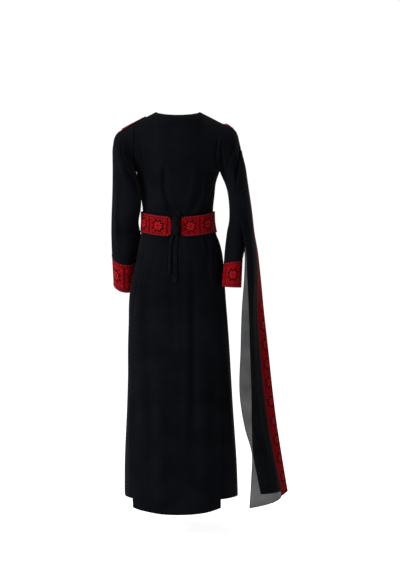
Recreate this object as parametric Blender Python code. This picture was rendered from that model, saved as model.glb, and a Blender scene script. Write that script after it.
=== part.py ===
"""Long black embroidered dress in the form that it keeps when it is worn, with nothing inside it.

Metres, +Z up. The origin is on the centre line at the top of the shoulders, where the wearer holds
the dress up. The back of the dress faces -Y, the front +Y, and the wearer's right is +X.
A drop is a distance below the origin.
"""

import math
from collections import namedtuple

import bmesh
import bpy
import numpy as np

# Driving sizes of the cut
CLOTH = 0.0018
TRIM = 0.0022
CHIFFON = 0.0014
SEAM_GAP = 0.0003
WAIST_DROP = 0.394
ARMPIT_DROP = 0.214
SHOULDER_TIP_DROP = 0.042
SHOULDER_TIP_X = 0.160
ARMPIT_X = 0.149
ARMHOLE_DEPTH = 0.072
NECK_HALF_WIDTH = 0.078
BACK_NECK_DEPTH = 0.060
BACK_NECK_DROP = 0.014
FRONT_NECK_DEPTH = 0.058
FRONT_NECK_DROP = 0.080
BACK_HEM_DROP = 1.424
BACK_HEM_RISE = 0.018
SIDE_HEM_DROP = 1.377
FRONT_HEM_DROP = 1.388
SKIRT_LAP = 0.030
BELT_HEIGHT = 0.075
BELT_END_LEFT = -0.0225
BELT_END_RIGHT = 0.0095
BELT_END_ROUNDING = 0.016
BELT_END_NARROWING = 0.42
BELT_EASE = 0.0006
BELT_DIP = 0.0160
BORDER_WIDTH = 0.040
BORDER_START_DROP = 0.138
BORDER_HEM_DROP = 1.383
BORDER_HEM_RISE = 0.012
SURFACE_EASE = 0.0004
KNOT_PLACE = (-0.0065, -0.1061, -0.405)
KNOT_SIZE = (0.0165, 0.0095, 0.0330)
LOOP_REACH = (0.0105, 0.0160)
LOOP_TAPE = 0.0076
LOOP_FOOT = 0.0310
LOOP_LEAN = 0.0040
BAND_REACH = (-0.012, 0.034)
BAND_SLANT = 0.026
BAND_START_X = 0.114
BAND_RUN = (0.02, 0.124)
SEAM_STEP = 0.0040
CUFF_START = 1.006

# Roundness of a body section: 1 is an ellipse, less is squarer
ROUNDNESS = 0.90
# How square the neckline is in the drop: 0.5 is an ellipse
NECK_SQUARENESS = 0.6
# The share of a bodice panel's rows below the armpit, and how close to the armhole its edge is felt
LOWER_SHARE = 0.36
ARMHOLE_BLEND = 1.5
# How far the chest leans in above the armpit, for the back and the front
CHEST_SLOPE = {-1: 0.08, 1: -0.16}
# The folds of the skirt fade out towards its sides
FOLD_FADE = 3
TINY = 1e-4
HALVINGS = 40

# Rows and columns of the panels, and how their rows bunch near the top
BODICE_LOW_ROWS = 5
BODICE_HIGH_ROWS = 10
NECK_COLUMNS = np.array((0, 0.3, 0.58, 0.8, 0.93, 1))
SHOULDER_COLUMNS = 6
SHOULDER_SEAM_RISE = 0.998
SKIRT_ROWS = 11
SKIRT_BUNCHING = 1.5
SKIRT_BACK_COLUMNS = 30
SKIRT_FRONT_COLUMNS = 34
SLEEVE_SIDES = 20
SLEEVE_ROWS = 16
CUFF_ROWS = 3
BELT_COLUMNS = 38
BELT_LEAD_STEPS = np.array((0, 0.12, 0.45))
TRIM_ROWS = 3
VEIL_ROWS = 20
VEIL_BUNCHING = 1.3
SHEER_COLUMNS = 9
FOLDED_COLUMNS = 6
BORDER_ROWS = 18
BAND_COLUMNS = 6
TAIL_ROWS = 9
KNOT_SIDES = 14
KNOT_ROWS = 9
LOOP_STEPS = 12

Section = namedtuple("Section", "drop left right back front")
BODY = (
    Section(0.214, 0.149, 0.149, 0.112, 0.116),
    Section(0.250, 0.141, 0.137, 0.109, 0.121),
    Section(0.300, 0.134, 0.131, 0.101, 0.115),
    Section(0.350, 0.127, 0.126, 0.093, 0.099),
    Section(0.394, 0.126, 0.127, 0.090, 0.092),
    Section(0.430, 0.128, 0.133, 0.093, 0.095),
    Section(0.465, 0.134, 0.147, 0.101, 0.100),
    Section(0.502, 0.140, 0.157, 0.109, 0.104),
    Section(0.553, 0.152, 0.163, 0.117, 0.109),
    Section(0.653, 0.171, 0.170, 0.127, 0.117),
    Section(0.765, 0.175, 0.179, 0.134, 0.126),
    Section(1.067, 0.185, 0.199, 0.147, 0.143),
    Section(1.283, 0.194, 0.214, 0.155, 0.154),
    Section(1.424, 0.194, 0.219, 0.160, 0.160),
)

# Where the back panel of the skirt ends on each side, and how far it stands off the layer below
Edge = namedtuple("Edge", "drop left right stand_off")
BACK_PANEL = (
    Edge(0.394, 0.1225, 0.1235, 0.0034),
    Edge(0.553, 0.1480, 0.1550, 0.0034),
    Edge(0.653, 0.1650, 0.1575, 0.0036),
    Edge(0.765, 0.1690, 0.1520, 0.0044),
    Edge(1.085, 0.1670, 0.1490, 0.0070),
    Edge(1.241, 0.1600, 0.1490, 0.0090),
    Edge(1.424, 0.1490, 0.1490, 0.0100),
)

# Rings of a sleeve from the armhole to the cuff, by their outermost and innermost points
Ring = namedtuple("Ring", "run outer outer_drop inner inner_drop middle depth dip")
LEFT_SLEEVE = (
    Ring(0.00, 0.1611, 0.0425, 0.1521, 0.2135, 0.000, 0.0715, 0.000),
    Ring(0.06, 0.1800, 0.0525, 0.1522, 0.2190, 0.000, 0.0730, 0.000),
    Ring(0.12, 0.1985, 0.0635, 0.1515, 0.2260, -0.006, 0.0730, 0.000),
    Ring(0.18, 0.2160, 0.0770, 0.1485, 0.2340, -0.017, 0.0720, 0.000),
    Ring(0.24, 0.2260, 0.0960, 0.1430, 0.2450, -0.030, 0.0700, 0.000),
    Ring(0.31, 0.2300, 0.1250, 0.1385, 0.2600, -0.041, 0.0670, 0.000),
    Ring(0.39, 0.2310, 0.1650, 0.1342, 0.2850, -0.047, 0.0635, 0.000),
    Ring(0.48, 0.2315, 0.2200, 0.1315, 0.3100, -0.045, 0.0600, 0.000),
    Ring(0.58, 0.2335, 0.2900, 0.1330, 0.3450, -0.031, 0.0560, 0.000),
    Ring(0.69, 0.2380, 0.3700, 0.1420, 0.3950, -0.006, 0.0520, 0.004),
    Ring(0.80, 0.2405, 0.4300, 0.1355, 0.4450, 0.018, 0.0490, 0.014),
    Ring(0.90, 0.2405, 0.4750, 0.1405, 0.4850, 0.035, 0.0475, 0.023),
    Ring(1.00, 0.2400, 0.5130, 0.1490, 0.5250, 0.049, 0.0465, 0.027),
)
RIGHT_SLEEVE = (
    Ring(0.00, 0.1611, 0.0425, 0.1521, 0.2135, 0.000, 0.0715, 0.000),
    Ring(0.06, 0.1750, 0.0465, 0.1535, 0.2200, 0.000, 0.0730, 0.000),
    Ring(0.12, 0.1910, 0.0570, 0.1565, 0.2270, 0.000, 0.0725, 0.000),
    Ring(0.18, 0.2060, 0.0740, 0.1605, 0.2360, -0.001, 0.0710, 0.000),
    Ring(0.24, 0.2140, 0.0980, 0.1655, 0.2470, -0.002, 0.0680, 0.000),
    Ring(0.31, 0.2175, 0.1250, 0.1715, 0.2620, -0.004, 0.0650, 0.000),
    Ring(0.39, 0.2220, 0.1650, 0.1780, 0.2850, -0.006, 0.0600, 0.000),
    Ring(0.48, 0.2305, 0.2250, 0.1830, 0.3200, -0.010, 0.0550, 0.000),
    Ring(0.58, 0.2420, 0.2900, 0.1850, 0.3600, -0.018, 0.0500, 0.000),
    Ring(0.69, 0.2515, 0.3600, 0.1830, 0.3950, -0.026, 0.0470, 0.000),
    Ring(0.80, 0.2505, 0.4200, 0.1760, 0.4300, -0.037, 0.0460, 0.000),
    Ring(0.90, 0.2410, 0.4750, 0.1690, 0.4850, -0.051, 0.0445, 0.000),
    Ring(1.00, 0.2300, 0.5270, 0.1645, 0.5370, -0.063, 0.0430, 0.000),
)
LEFT_CUFF_END = Ring(2.00, 0.2365, 0.6190, 0.1530, 0.6310, 0.085, 0.0465, 0.025)
RIGHT_CUFF_END = Ring(2.00, 0.2250, 0.6250, 0.1575, 0.6220, -0.082, 0.0420, 0.000)

# The veil hangs round the outside of the right arm: its free edge is behind, its border outside
Fall = namedtuple("Fall", "drop edge edge_y side side_y reach folded_edge")
VEIL = (
    Fall(0.122, 0.2200, -0.0150, 0.2235, 0.000, 0.2240, 0.2200),
    Fall(0.150, 0.2225, -0.0290, 0.2285, 0.000, 0.2315, 0.2225),
    Fall(0.188, 0.2190, -0.0550, 0.2370, 0.000, 0.2415, 0.2190),
    Fall(0.258, 0.2070, -0.0790, 0.2475, 0.000, 0.2525, 0.2070),
    Fall(0.297, 0.2090, -0.0800, 0.2535, 0.000, 0.2585, 0.2090),
    Fall(0.352, 0.2160, -0.0810, 0.2610, 0.000, 0.2665, 0.2160),
    Fall(0.440, 0.2310, -0.0920, 0.2710, 0.000, 0.2770, 0.2330),
    Fall(0.495, 0.2370, -0.0980, 0.2780, -0.002, 0.2870, 0.2410),
    Fall(0.587, 0.2360, -0.1020, 0.2840, -0.006, 0.2980, 0.2450),
    Fall(0.702, 0.2280, -0.1020, 0.2825, -0.012, 0.3090, 0.2500),
    Fall(0.837, 0.2240, -0.1000, 0.2900, -0.016, 0.3240, 0.2545),
    Fall(1.021, 0.2220, -0.0990, 0.3080, -0.020, 0.3440, 0.2610),
    Fall(1.129, 0.2400, -0.0980, 0.3230, -0.022, 0.3580, 0.2630),
    Fall(1.217, 0.2640, -0.0970, 0.3390, -0.022, 0.3720, 0.2680),
    Fall(1.301, 0.2625, -0.0980, 0.3575, -0.022, 0.3860, 0.2830),
    Fall(1.412, 0.2560, -0.1000, 0.3780, -0.022, 0.4050, 0.3050),
)

# Where the veil's border lies on the sleeve head, by the sleeve's run and the border's rear edge
Over = namedtuple("Over", "run behind")
BORDER_ON_SLEEVE = (
    Over(0.035, -0.032),
    Over(0.080, -0.034),
    Over(0.130, -0.020),
    Over(0.180, -0.008),
    Over(0.220, -0.001),
    Over(0.260, 0.002),
)

VEIL_TOP = 0.122
VEIL_HEM_INNER = 1.412
VEIL_HEM_OUTER = 1.380
FOLDED_TOP = 0.140
FOLDED_HEM = 1.362
FOLDED_STAND_OFF = 0.0045
FOLDED_PARTING = 0.060
FOLDED_REACH = 0.90
FOLDED_JOIN = 0.30

# Centre lines of the two tie ends down the back of the skirt
TieStep = namedtuple("TieStep", "drop x width")
LEFT_TAIL = (
    TieStep(0.432, -0.0150, 0.009),
    TieStep(0.446, -0.0185, 0.010),
    TieStep(0.460, -0.0230, 0.010),
    TieStep(0.520, -0.0270, 0.010),
    TieStep(0.574, -0.0275, 0.011),
)
RIGHT_TAIL = (
    TieStep(0.432, -0.0010, 0.010),
    TieStep(0.446, -0.0030, 0.012),
    TieStep(0.474, -0.0075, 0.014),
    TieStep(0.560, -0.0085, 0.014),
    TieStep(0.608, -0.0110, 0.020),
)

# Long soft folds: their line by distance across and drop, their height out of the cloth, half width
Fold = namedtuple("Fold", "start middle end height width")
BODICE_FOLDS = (
    Fold((-0.043, 0.170), (-0.047, 0.269), (-0.022, 0.372), -0.0060, 0.011),
    Fold((-0.062, 0.190), (-0.064, 0.280), (-0.036, 0.372), 0.0045, 0.012),
    Fold((0.088, 0.220), (0.078, 0.295), (0.045, 0.372), -0.0056, 0.011),
    Fold((0.098, 0.230), (0.094, 0.300), (0.062, 0.372), 0.0042, 0.011),
    Fold((0.062, 0.180), (0.060, 0.250), (0.030, 0.350), 0.0036, 0.013),
)
SKIRT_FOLDS = (
    Fold((0.034, 0.440), (0.034, 0.780), (0.026, 1.300), 0.0050, 0.013),
    Fold((0.052, 0.460), (0.055, 0.780), (0.052, 1.200), -0.0045, 0.014),
    Fold((-0.028, 0.560), (-0.018, 0.700), (-0.010, 0.900), -0.0045, 0.016),
    Fold((-0.128, 0.560), (-0.140, 0.800), (-0.112, 1.230), 0.0050, 0.015),
    Fold((-0.100, 0.520), (-0.106, 0.800), (-0.080, 1.230), -0.0040, 0.017),
    Fold((0.112, 0.430), (0.120, 0.500), (0.124, 0.640), 0.0040, 0.008),
    Fold((0.098, 0.430), (0.103, 0.500), (0.104, 0.600), -0.0035, 0.008),
    Fold((-0.070, 0.900), (-0.060, 1.150), (-0.055, 1.424), 0.0050, 0.022),
    Fold((0.100, 0.800), (0.098, 1.100), (0.092, 1.424), 0.0050, 0.022),
)

Finish = namedtuple("Finish", "colour roughness")
BLACK_CREPE = Finish((0.012, 0.013, 0.016), 0.85)
BLACK_CHIFFON = Finish((0.030, 0.031, 0.034), 0.70)
RED_EMBROIDERY = Finish((0.36, 0.012, 0.018), 0.75)


def clear_scene():
    for obj in list(bpy.data.objects):
        bpy.data.objects.remove(obj, do_unlink=True)


def curve(rows, column, key="drop"):
    """A smooth function through one column of a table."""
    at = np.array([getattr(row, key) for row in rows])
    value = np.array([getattr(row, column) for row in rows])
    slope = np.gradient(value, at)

    def read(where):
        where = np.clip(where, at[0], at[-1])
        i = np.clip(np.searchsorted(at, where, side="right") - 1, 0, len(at) - 2)
        step = at[i + 1] - at[i]
        s = (where - at[i]) / step
        start = value[i] * (1 + 2 * s) * (1 - s) ** 2 + slope[i] * step * s * (1 - s) ** 2
        end = value[i + 1] * s * s * (3 - 2 * s) + slope[i + 1] * step * s * s * (s - 1)
        return start + end

    return read


def power(value, exponent):
    return np.sign(value) * np.abs(value) ** exponent


def smooth(low, high, value):
    s = np.clip((value - low) / (high - low), 0, 1)
    return s * s * (3 - 2 * s)


body_left = curve(BODY, "left")
body_right = curve(BODY, "right")
body_back = curve(BODY, "back")
body_front = curve(BODY, "front")
panel_left = curve(BACK_PANEL, "left")
panel_right = curve(BACK_PANEL, "right")
panel_off = curve(BACK_PANEL, "stand_off")


def folds(x, drop, table):
    """How far the folds of a table stand out at these places."""
    total = np.zeros(np.broadcast(x, drop).shape)
    for fold in table:
        top, middle, foot = fold.start[1], fold.middle[1], fold.end[1]
        line = np.interp(drop, (top, middle, foot), (fold.start[0], fold.middle[0], fold.end[0]))
        fade = (foot - top) / 4
        along = smooth(top, top + fade, drop) * (1 - smooth(foot - fade, foot, drop))
        total = total + fold.height * along * np.exp(-(((x - line) / fold.width) ** 2))
    return total


def body_point(angle, drop):
    """Angle 0 is the middle of the back and 90 degrees the wearer's right side."""
    across, behind = power(np.sin(angle), ROUNDNESS), power(np.cos(angle), ROUNDNESS)
    x = across * np.where(across > 0, body_right(drop), body_left(drop))
    y = -behind * np.where(behind > 0, body_back(drop), body_front(drop))
    return np.stack((x, y, -drop + 0 * x), axis=-1)


def neck_and_shoulder(x, depth, drop):
    """(y, drop) of the top edge of a bodice panel: the neckline, then the shoulder seam."""
    inside = np.clip(1 - (x / NECK_HALF_WIDTH) ** 2, 0, 1)
    slope = SHOULDER_TIP_DROP / (SHOULDER_TIP_X - NECK_HALF_WIDTH)
    seam = np.clip(np.abs(x) - NECK_HALF_WIDTH, 0, None) * slope
    return depth * np.sqrt(inside), drop * inside**NECK_SQUARENESS + seam


def bodice(side_y, angle, rise):
    """A bodice panel by angle from its middle, -90 to 90 degrees, and rise, 0 at the waist to 1."""
    across, out = power(np.sin(angle), ROUNDNESS), np.abs(np.cos(angle)) ** ROUNDNESS
    lower = rise <= LOWER_SHARE
    drop = WAIST_DROP + (ARMPIT_DROP - WAIST_DROP) * np.clip(rise / LOWER_SHARE, 0, 1)
    depth = (body_back if side_y < 0 else body_front)(drop)
    low_x = across * np.where(across > 0, body_right(drop), body_left(drop))
    low_y = side_y * depth * out
    low_z = -drop

    turn = np.clip((rise - LOWER_SHARE) / (1 - LOWER_SHARE), 0, 1)
    up = (1 - np.cos(math.pi * turn)) / 2
    depth = depth + ARMPIT_DROP * CHEST_SLOPE[side_y] * up * (1 - up) ** 2
    high_x = across * (ARMPIT_X + (SHOULDER_TIP_X - ARMPIT_X) * up)
    neck = (BACK_NECK_DEPTH, BACK_NECK_DROP) if side_y < 0 else (FRONT_NECK_DEPTH, FRONT_NECK_DROP)
    top_y, top_drop = neck_and_shoulder(high_x, *neck)
    fullness = np.sqrt(np.clip(1 - up * up, 0, 1))
    armhole_y = ARMHOLE_DEPTH * 2 * np.sqrt(up / (1 + up))
    chest = depth * out + armhole_y * (1 - out) ** ARMHOLE_BLEND
    high_y = side_y * (top_y * (1 - fullness) + fullness * chest)
    high_z = -(ARMPIT_DROP + (top_drop - ARMPIT_DROP) * up)
    x = np.where(lower, low_x, high_x)
    y = np.where(lower, low_y, high_y)
    z = np.where(lower, low_z, high_z)
    if side_y < 0:
        y = y - folds(x, -z, BODICE_FOLDS)
    return np.stack((x, y, z), axis=-1)


def bodice_back(angle, rise):
    return bodice(-1, angle, rise)


def bodice_front(angle, rise):
    return bodice(1, -angle, rise)


def edge_angle(edge, width):
    """The angle at which a section of this half width reaches that distance across."""
    return np.arcsin(np.clip(edge / width, 0, 1) ** (1 / ROUNDNESS))


def skirt_base(angle, drop):
    """The skirt's own form, with its folds behind."""
    point = body_point(angle, drop)
    behind = np.clip(np.cos(angle) * FOLD_FADE, 0, 1)
    point[..., 1] -= behind * folds(point[..., 0], drop, SKIRT_FOLDS)
    return point


def skirt_back(across, fall):
    """The back panel, across from -1 to 1 and down from 0 to 1."""
    hem = BACK_HEM_DROP - BACK_HEM_RISE * across**2
    top = WAIST_DROP + SEAM_GAP
    drop = top + (hem - top) * fall
    right = edge_angle(panel_right(drop), body_right(drop))
    left = edge_angle(panel_left(drop), body_left(drop))
    angle = across * np.where(across > 0, right, left)
    return moved_out(skirt_base, angle, drop, panel_off(drop))


def skirt_front(around, fall):
    """The front and sides in one, from behind the back panel's right edge round to its left one."""
    side = np.abs(np.cos(around * math.pi))
    hem = FRONT_HEM_DROP + (SIDE_HEM_DROP - FRONT_HEM_DROP) * side
    top = WAIST_DROP + SEAM_GAP
    drop = top + (hem - top) * fall
    start = edge_angle(panel_right(drop) - SKIRT_LAP, body_right(drop))
    end = 2 * math.pi - edge_angle(panel_left(drop) - SKIRT_LAP, body_left(drop))
    return skirt_base(start + (end - start) * around, drop)


def normals(surface, u, v):
    """Unit normals of a surface, pointing along du x dv."""
    du = surface(u + TINY, v) - surface(u - TINY, v)
    dv = surface(u, v + TINY) - surface(u, v - TINY)
    normal = np.cross(du, dv)
    return normal / np.maximum(np.linalg.norm(normal, axis=-1, keepdims=True), 1e-15)


def moved_out(surface, u, v, distance):
    """Points of a surface moved out along its normals; u runs to the right and v down, seen outside."""
    return surface(u, v) - normals(surface, u, v) * np.asarray(distance)[..., None]


def sleeve_surface(table, side):
    read = {name: curve(table, name, "run") for name in Ring._fields}

    def point(angle, run):
        """Angle 0 is the inner side and 180 degrees the outer side, to the right across the back."""
        out = (1 - np.cos(angle)) / 2
        back = np.sin(side * angle)
        x = read["inner"](run) + (read["outer"](run) - read["inner"](run)) * out
        drop = read["inner_drop"](run) + (read["outer_drop"](run) - read["inner_drop"](run)) * out
        y = read["middle"](run) - read["depth"](run) * back
        drop = drop + read["dip"](run) * back
        return np.stack((side * x, y, -drop), axis=-1)

    return point


left_sleeve = sleeve_surface(LEFT_SLEEVE, -1)
right_sleeve = sleeve_surface(RIGHT_SLEEVE, 1)
left_cuff = sleeve_surface((LEFT_SLEEVE[-1], LEFT_CUFF_END), -1)
right_cuff = sleeve_surface((RIGHT_SLEEVE[-1], RIGHT_CUFF_END), 1)


veil = {name: curve(VEIL, name) for name in Fall._fields}


def veil_at(across, drop):
    """The veil in plan: straight out behind the arm, then round to its side."""
    turn = across * math.pi / 2
    x = veil["edge"](drop) + (veil["side"](drop) - veil["edge"](drop)) * np.sin(turn)
    y = veil["edge_y"](drop) + (veil["side_y"](drop) - veil["edge_y"](drop)) * (1 - np.cos(turn))
    return np.stack((x, y, -drop + 0 * x), axis=-1)


def veil_sheer(across, fall):
    """The sheer layer, its hem rising towards the border."""
    hem = VEIL_HEM_INNER + (VEIL_HEM_OUTER - VEIL_HEM_INNER) * across
    return veil_at(across, VEIL_TOP + (hem - VEIL_TOP) * fall)


def veil_folded(across, fall):
    """The doubled layer, sewn to the sheer one at its top and at the border, and loose elsewhere."""
    drop = FOLDED_TOP + (FOLDED_HEM - FOLDED_TOP) * fall
    width = veil["side"](drop) - veil["edge"](drop)
    start = np.arcsin(np.clip((veil["folded_edge"](drop) - veil["edge"](drop)) / width, 0, 1))
    start = start * 2 / math.pi
    place = start + (FOLDED_REACH - start) * across
    sewn = CHIFFON + SEAM_GAP + SURFACE_EASE
    loose = smooth(FOLDED_TOP, FOLDED_TOP + FOLDED_PARTING, drop)
    loose = loose * (1 - smooth(FOLDED_REACH - FOLDED_JOIN, FOLDED_REACH, place))
    off = sewn + (FOLDED_STAND_OFF - sewn) * loose
    return moved_out(veil_at, place, drop, off)


def belt_surface(angle, rise):
    """Rise runs from -1 at the belt's lower edge to 1 at its upper one. The tie pulls it down behind."""
    dip = BELT_DIP * np.clip(np.cos(angle), 0, 1) ** 2
    drop = WAIST_DROP + dip - rise * BELT_HEIGHT / 2
    off = BACK_PANEL[0].stand_off + CLOTH / 2 + SEAM_GAP + TRIM / 2 + BELT_EASE
    return moved_out(body_point, angle, drop, off)


def shoulder_point(x, y):
    """The bodice beside the shoulder seam, at x and y, found by halving the height that it can be at."""
    low, high = np.full_like(y, 0.4), np.ones_like(y)
    depth = np.where(y < 0, body_back(ARMPIT_DROP), body_front(ARMPIT_DROP))
    for _ in range(HALVINGS):
        up = (low + high) / 2
        half = ARMPIT_X + (SHOULDER_TIP_X - ARMPIT_X) * up
        across = np.minimum(np.abs(x) / half, 1)
        out = (1 - across ** (2 / ROUNDNESS)) ** (ROUNDNESS / 2)
        armhole_y = ARMHOLE_DEPTH * 2 * np.sqrt(up / (1 + up))
        chest = depth * out + armhole_y * (1 - out) ** ARMHOLE_BLEND
        outside = np.sqrt(1 - up * up) * chest > np.abs(y)
        low = np.where(outside, up, low)
        high = np.where(outside, high, up)
    top_drop = neck_and_shoulder(x, BACK_NECK_DEPTH, BACK_NECK_DROP)[1]
    return np.stack((x + 0 * y, y, -(ARMPIT_DROP + (top_drop - ARMPIT_DROP) * up)), axis=-1)


def sleeve_top(sleeve, table, side, run, y):
    """The sleeve near its outer line, at y."""
    middle = curve(table, "middle", "run")(run)
    depth = curve(table, "depth", "run")(run)
    angle = math.pi - side * np.arcsin((middle - y) / depth)
    return sleeve(angle, np.full_like(angle, run))


def tail_surface(table):
    middle, width = curve(table, "x"), curve(table, "width")
    off = CLOTH / 2 + SEAM_GAP + CLOTH / 2 + SURFACE_EASE

    def point(across, drop):
        x = middle(drop) + across * width(drop) / 2
        side_width = np.where(x > 0, body_right(drop), body_left(drop))
        angle = np.sign(x) * edge_angle(np.abs(x), side_width)
        return moved_out(skirt_base, angle, drop, panel_off(drop) + off)

    return point


left_tail = tail_surface(LEFT_TAIL)
right_tail = tail_surface(RIGHT_TAIL)


def finish_object(name, mesh, finish):
    obj = bpy.data.objects.new(name, mesh)
    bpy.context.scene.collection.objects.link(obj)
    material = bpy.data.materials.new(name)
    material.use_nodes = True
    shader = material.node_tree.nodes["Principled BSDF"]
    shader.inputs["Base Color"].default_value = (*finish.colour, 1)
    shader.inputs["Roughness"].default_value = finish.roughness
    shader.inputs["Metallic"].default_value = 0
    mesh.materials.append(material)
    mesh.shade_smooth()
    mesh.set_sharp_from_angle(angle=math.radians(50))
    return obj


def add_wall(name, points, outward, thickness, finish, closed=False):
    """A cloth wall round a grid of middle points: a grid, its seam welded if closed, then extruded."""
    rows, columns = points.shape[:2]
    bm = bmesh.new()
    spot = bm.verts.layers.int.new("spot")
    grid = bmesh.ops.create_grid(bm, x_segments=columns - 1, y_segments=rows - 1, size=1)
    bm.verts.ensure_lookup_table()
    for index, vert in enumerate(grid["verts"]):
        row, column = divmod(index, columns)
        vert[spot] = row * columns + (0 if closed and column == columns - 1 else column)
        vert.co = points[row, column]
    if closed:
        bmesh.ops.remove_doubles(bm, verts=bm.verts[:], dist=1e-6)
    flat_points = points.reshape(-1, 3)
    flat_outward = outward.reshape(-1, 3)
    made = bmesh.ops.extrude_face_region(bm, geom=bm.faces[:], use_keep_orig=True)
    inner = {item for item in made["geom"] if isinstance(item, bmesh.types.BMVert)}
    for vert in bm.verts:
        way = -thickness / 2 if vert in inner else thickness / 2
        vert.co = flat_points[vert[spot]] + flat_outward[vert[spot]] * way
    bmesh.ops.recalc_face_normals(bm, faces=bm.faces[:])
    mesh = bpy.data.meshes.new(name)
    bm.to_mesh(mesh)
    bm.free()
    return finish_object(name, mesh, finish)


def add_panel(name, surface, across, down, thickness, finish, closed=False):
    """A wall on a surface; across runs to the right and down runs down, seen from outside."""
    u, v = np.meshgrid(across, down)
    return add_wall(name, surface(u, v), -normals(surface, u, v), thickness, finish, closed)


def steps(start, end, count):
    return np.linspace(start, end, count + 1)


def ribbon_normals(points):
    down = np.gradient(points, axis=0)
    across = np.gradient(points, axis=1)
    normal = -np.cross(across, down)
    return normal / np.linalg.norm(normal, axis=-1, keepdims=True)


def build_bodice():
    gap = SEAM_GAP / 2 / body_back(WAIST_DROP)
    neck_angle = edge_angle(NECK_HALF_WIDTH, SHOULDER_TIP_X)
    shoulder = steps(neck_angle, math.pi / 2 - gap, SHOULDER_COLUMNS)
    half = np.concatenate((neck_angle * NECK_COLUMNS, shoulder[1:]))
    columns = np.concatenate((-half[:0:-1], half))
    low_rows = steps(0, LOWER_SHARE, BODICE_LOW_ROWS)
    high_rows = steps(LOWER_SHARE, SHOULDER_SEAM_RISE, BODICE_HIGH_ROWS)
    rows = np.concatenate((low_rows, high_rows[1:]))[::-1]
    add_panel("bodice_back", bodice_back, columns, rows, CLOTH, BLACK_CREPE)
    add_panel("bodice_front", bodice_front, columns, rows, CLOTH, BLACK_CREPE)


def build_skirt():
    """The rows lie closer together under the belt and at the hip, where the skirt flares."""
    waist = (BELT_HEIGHT / 2) / (BACK_HEM_DROP - WAIST_DROP)
    below = waist + (1 - waist) * steps(0, 1, SKIRT_ROWS) ** SKIRT_BUNCHING
    rows = np.concatenate(((0, waist / 2), below))
    add_panel("skirt_back", skirt_back, steps(-1, 1, SKIRT_BACK_COLUMNS), rows, CLOTH, BLACK_CREPE)
    add_panel("skirt_front", skirt_front, steps(0, 1, SKIRT_FRONT_COLUMNS), rows, CLOTH, BLACK_CREPE)


def build_sleeves():
    around = steps(0, 2 * math.pi, SLEEVE_SIDES)
    down = steps(0, 1, SLEEVE_ROWS)
    cuff_down = steps(CUFF_START, 2, CUFF_ROWS)
    for side, sleeve, cuff in (("left", left_sleeve, left_cuff), ("right", right_sleeve, right_cuff)):
        add_panel("sleeve_" + side, sleeve, around, down, CLOTH, BLACK_CREPE, closed=True)
        add_panel("cuff_" + side, cuff, around, cuff_down, TRIM, RED_EMBROIDERY, closed=True)


def belt_outward(angle, rise):
    """Normals of the belt, turned to point away from the middle line."""
    out = normals(belt_surface, angle, rise)
    away = belt_surface(angle, rise) * (1, 1, 0)
    return out * np.sign(np.sum(out * away, axis=-1, keepdims=True))


def build_belt():
    """The band is open at the back, where its two rounded ends are tied together."""
    start = edge_angle(BELT_END_RIGHT, body_right(WAIST_DROP))
    end = 2 * math.pi - edge_angle(-BELT_END_LEFT, body_left(WAIST_DROP))
    lead = BELT_END_ROUNDING / body_right(WAIST_DROP)
    first = start + lead * BELT_LEAD_STEPS
    last = end - lead * BELT_LEAD_STEPS[::-1]
    turns = np.concatenate((first, steps(start + lead, end - lead, BELT_COLUMNS), last))
    inset = np.clip(1 - np.minimum(turns - start, end - turns) / lead, 0, 1)
    height = 1 - BELT_END_NARROWING * (1 - np.sqrt(1 - inset**2))
    rise = steps(1, -1, TRIM_ROWS)[:, None] * height[None, :]
    angle = np.broadcast_to(turns, rise.shape)
    points = belt_surface(angle, rise)
    add_wall("belt_band", points, belt_outward(angle, rise), TRIM, RED_EMBROIDERY)


def build_veil():
    down = steps(0, 1, VEIL_ROWS) ** VEIL_BUNCHING
    add_panel("veil_sheer", veil_sheer, steps(0, 1, SHEER_COLUMNS), down, CHIFFON, BLACK_CHIFFON)
    add_panel("veil_folded", veil_folded, steps(0, 1, FOLDED_COLUMNS), down, CHIFFON, BLACK_CHIFFON)


def hanging_border(share, fall):
    """The border below the shoulder, by share of its width and from 0 at its start to 1 at its hem."""
    hem = BORDER_HEM_DROP - BORDER_HEM_RISE * share
    drop = BORDER_START_DROP + (hem - BORDER_START_DROP) * fall
    inner = veil_at(np.ones_like(drop), drop)
    sideways = (veil["reach"](drop) - inner[..., 0]) / BORDER_WIDTH
    forwards = np.sqrt(1 - sideways**2)
    along = SEAM_GAP + TRIM / 2 + (BORDER_WIDTH - TRIM) * share
    return np.stack((inner[..., 0] + sideways * along, inner[..., 1] + forwards * along, -drop), axis=-1)


def build_border():
    """The border starts on the right shoulder, goes over the sleeve head and hangs to the hem."""
    share = steps(0, 1, TRIM_ROWS)
    rows = []
    for over in BORDER_ON_SLEEVE:
        ys = over.behind + BORDER_WIDTH * share
        rows.append(sleeve_top(right_sleeve, RIGHT_SLEEVE, 1, over.run, ys))
    on_sleeve = np.array(rows)
    lift = CLOTH / 2 + SEAM_GAP + TRIM / 2 + 3 * SURFACE_EASE
    on_sleeve = on_sleeve + ribbon_normals(on_sleeve) * lift
    hanging = hanging_border(*np.meshgrid(share, steps(0, 1, BORDER_ROWS)))
    points = np.concatenate((on_sleeve, hanging))
    add_wall("veil_border", points, ribbon_normals(points), TRIM, RED_EMBROIDERY)


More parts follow.
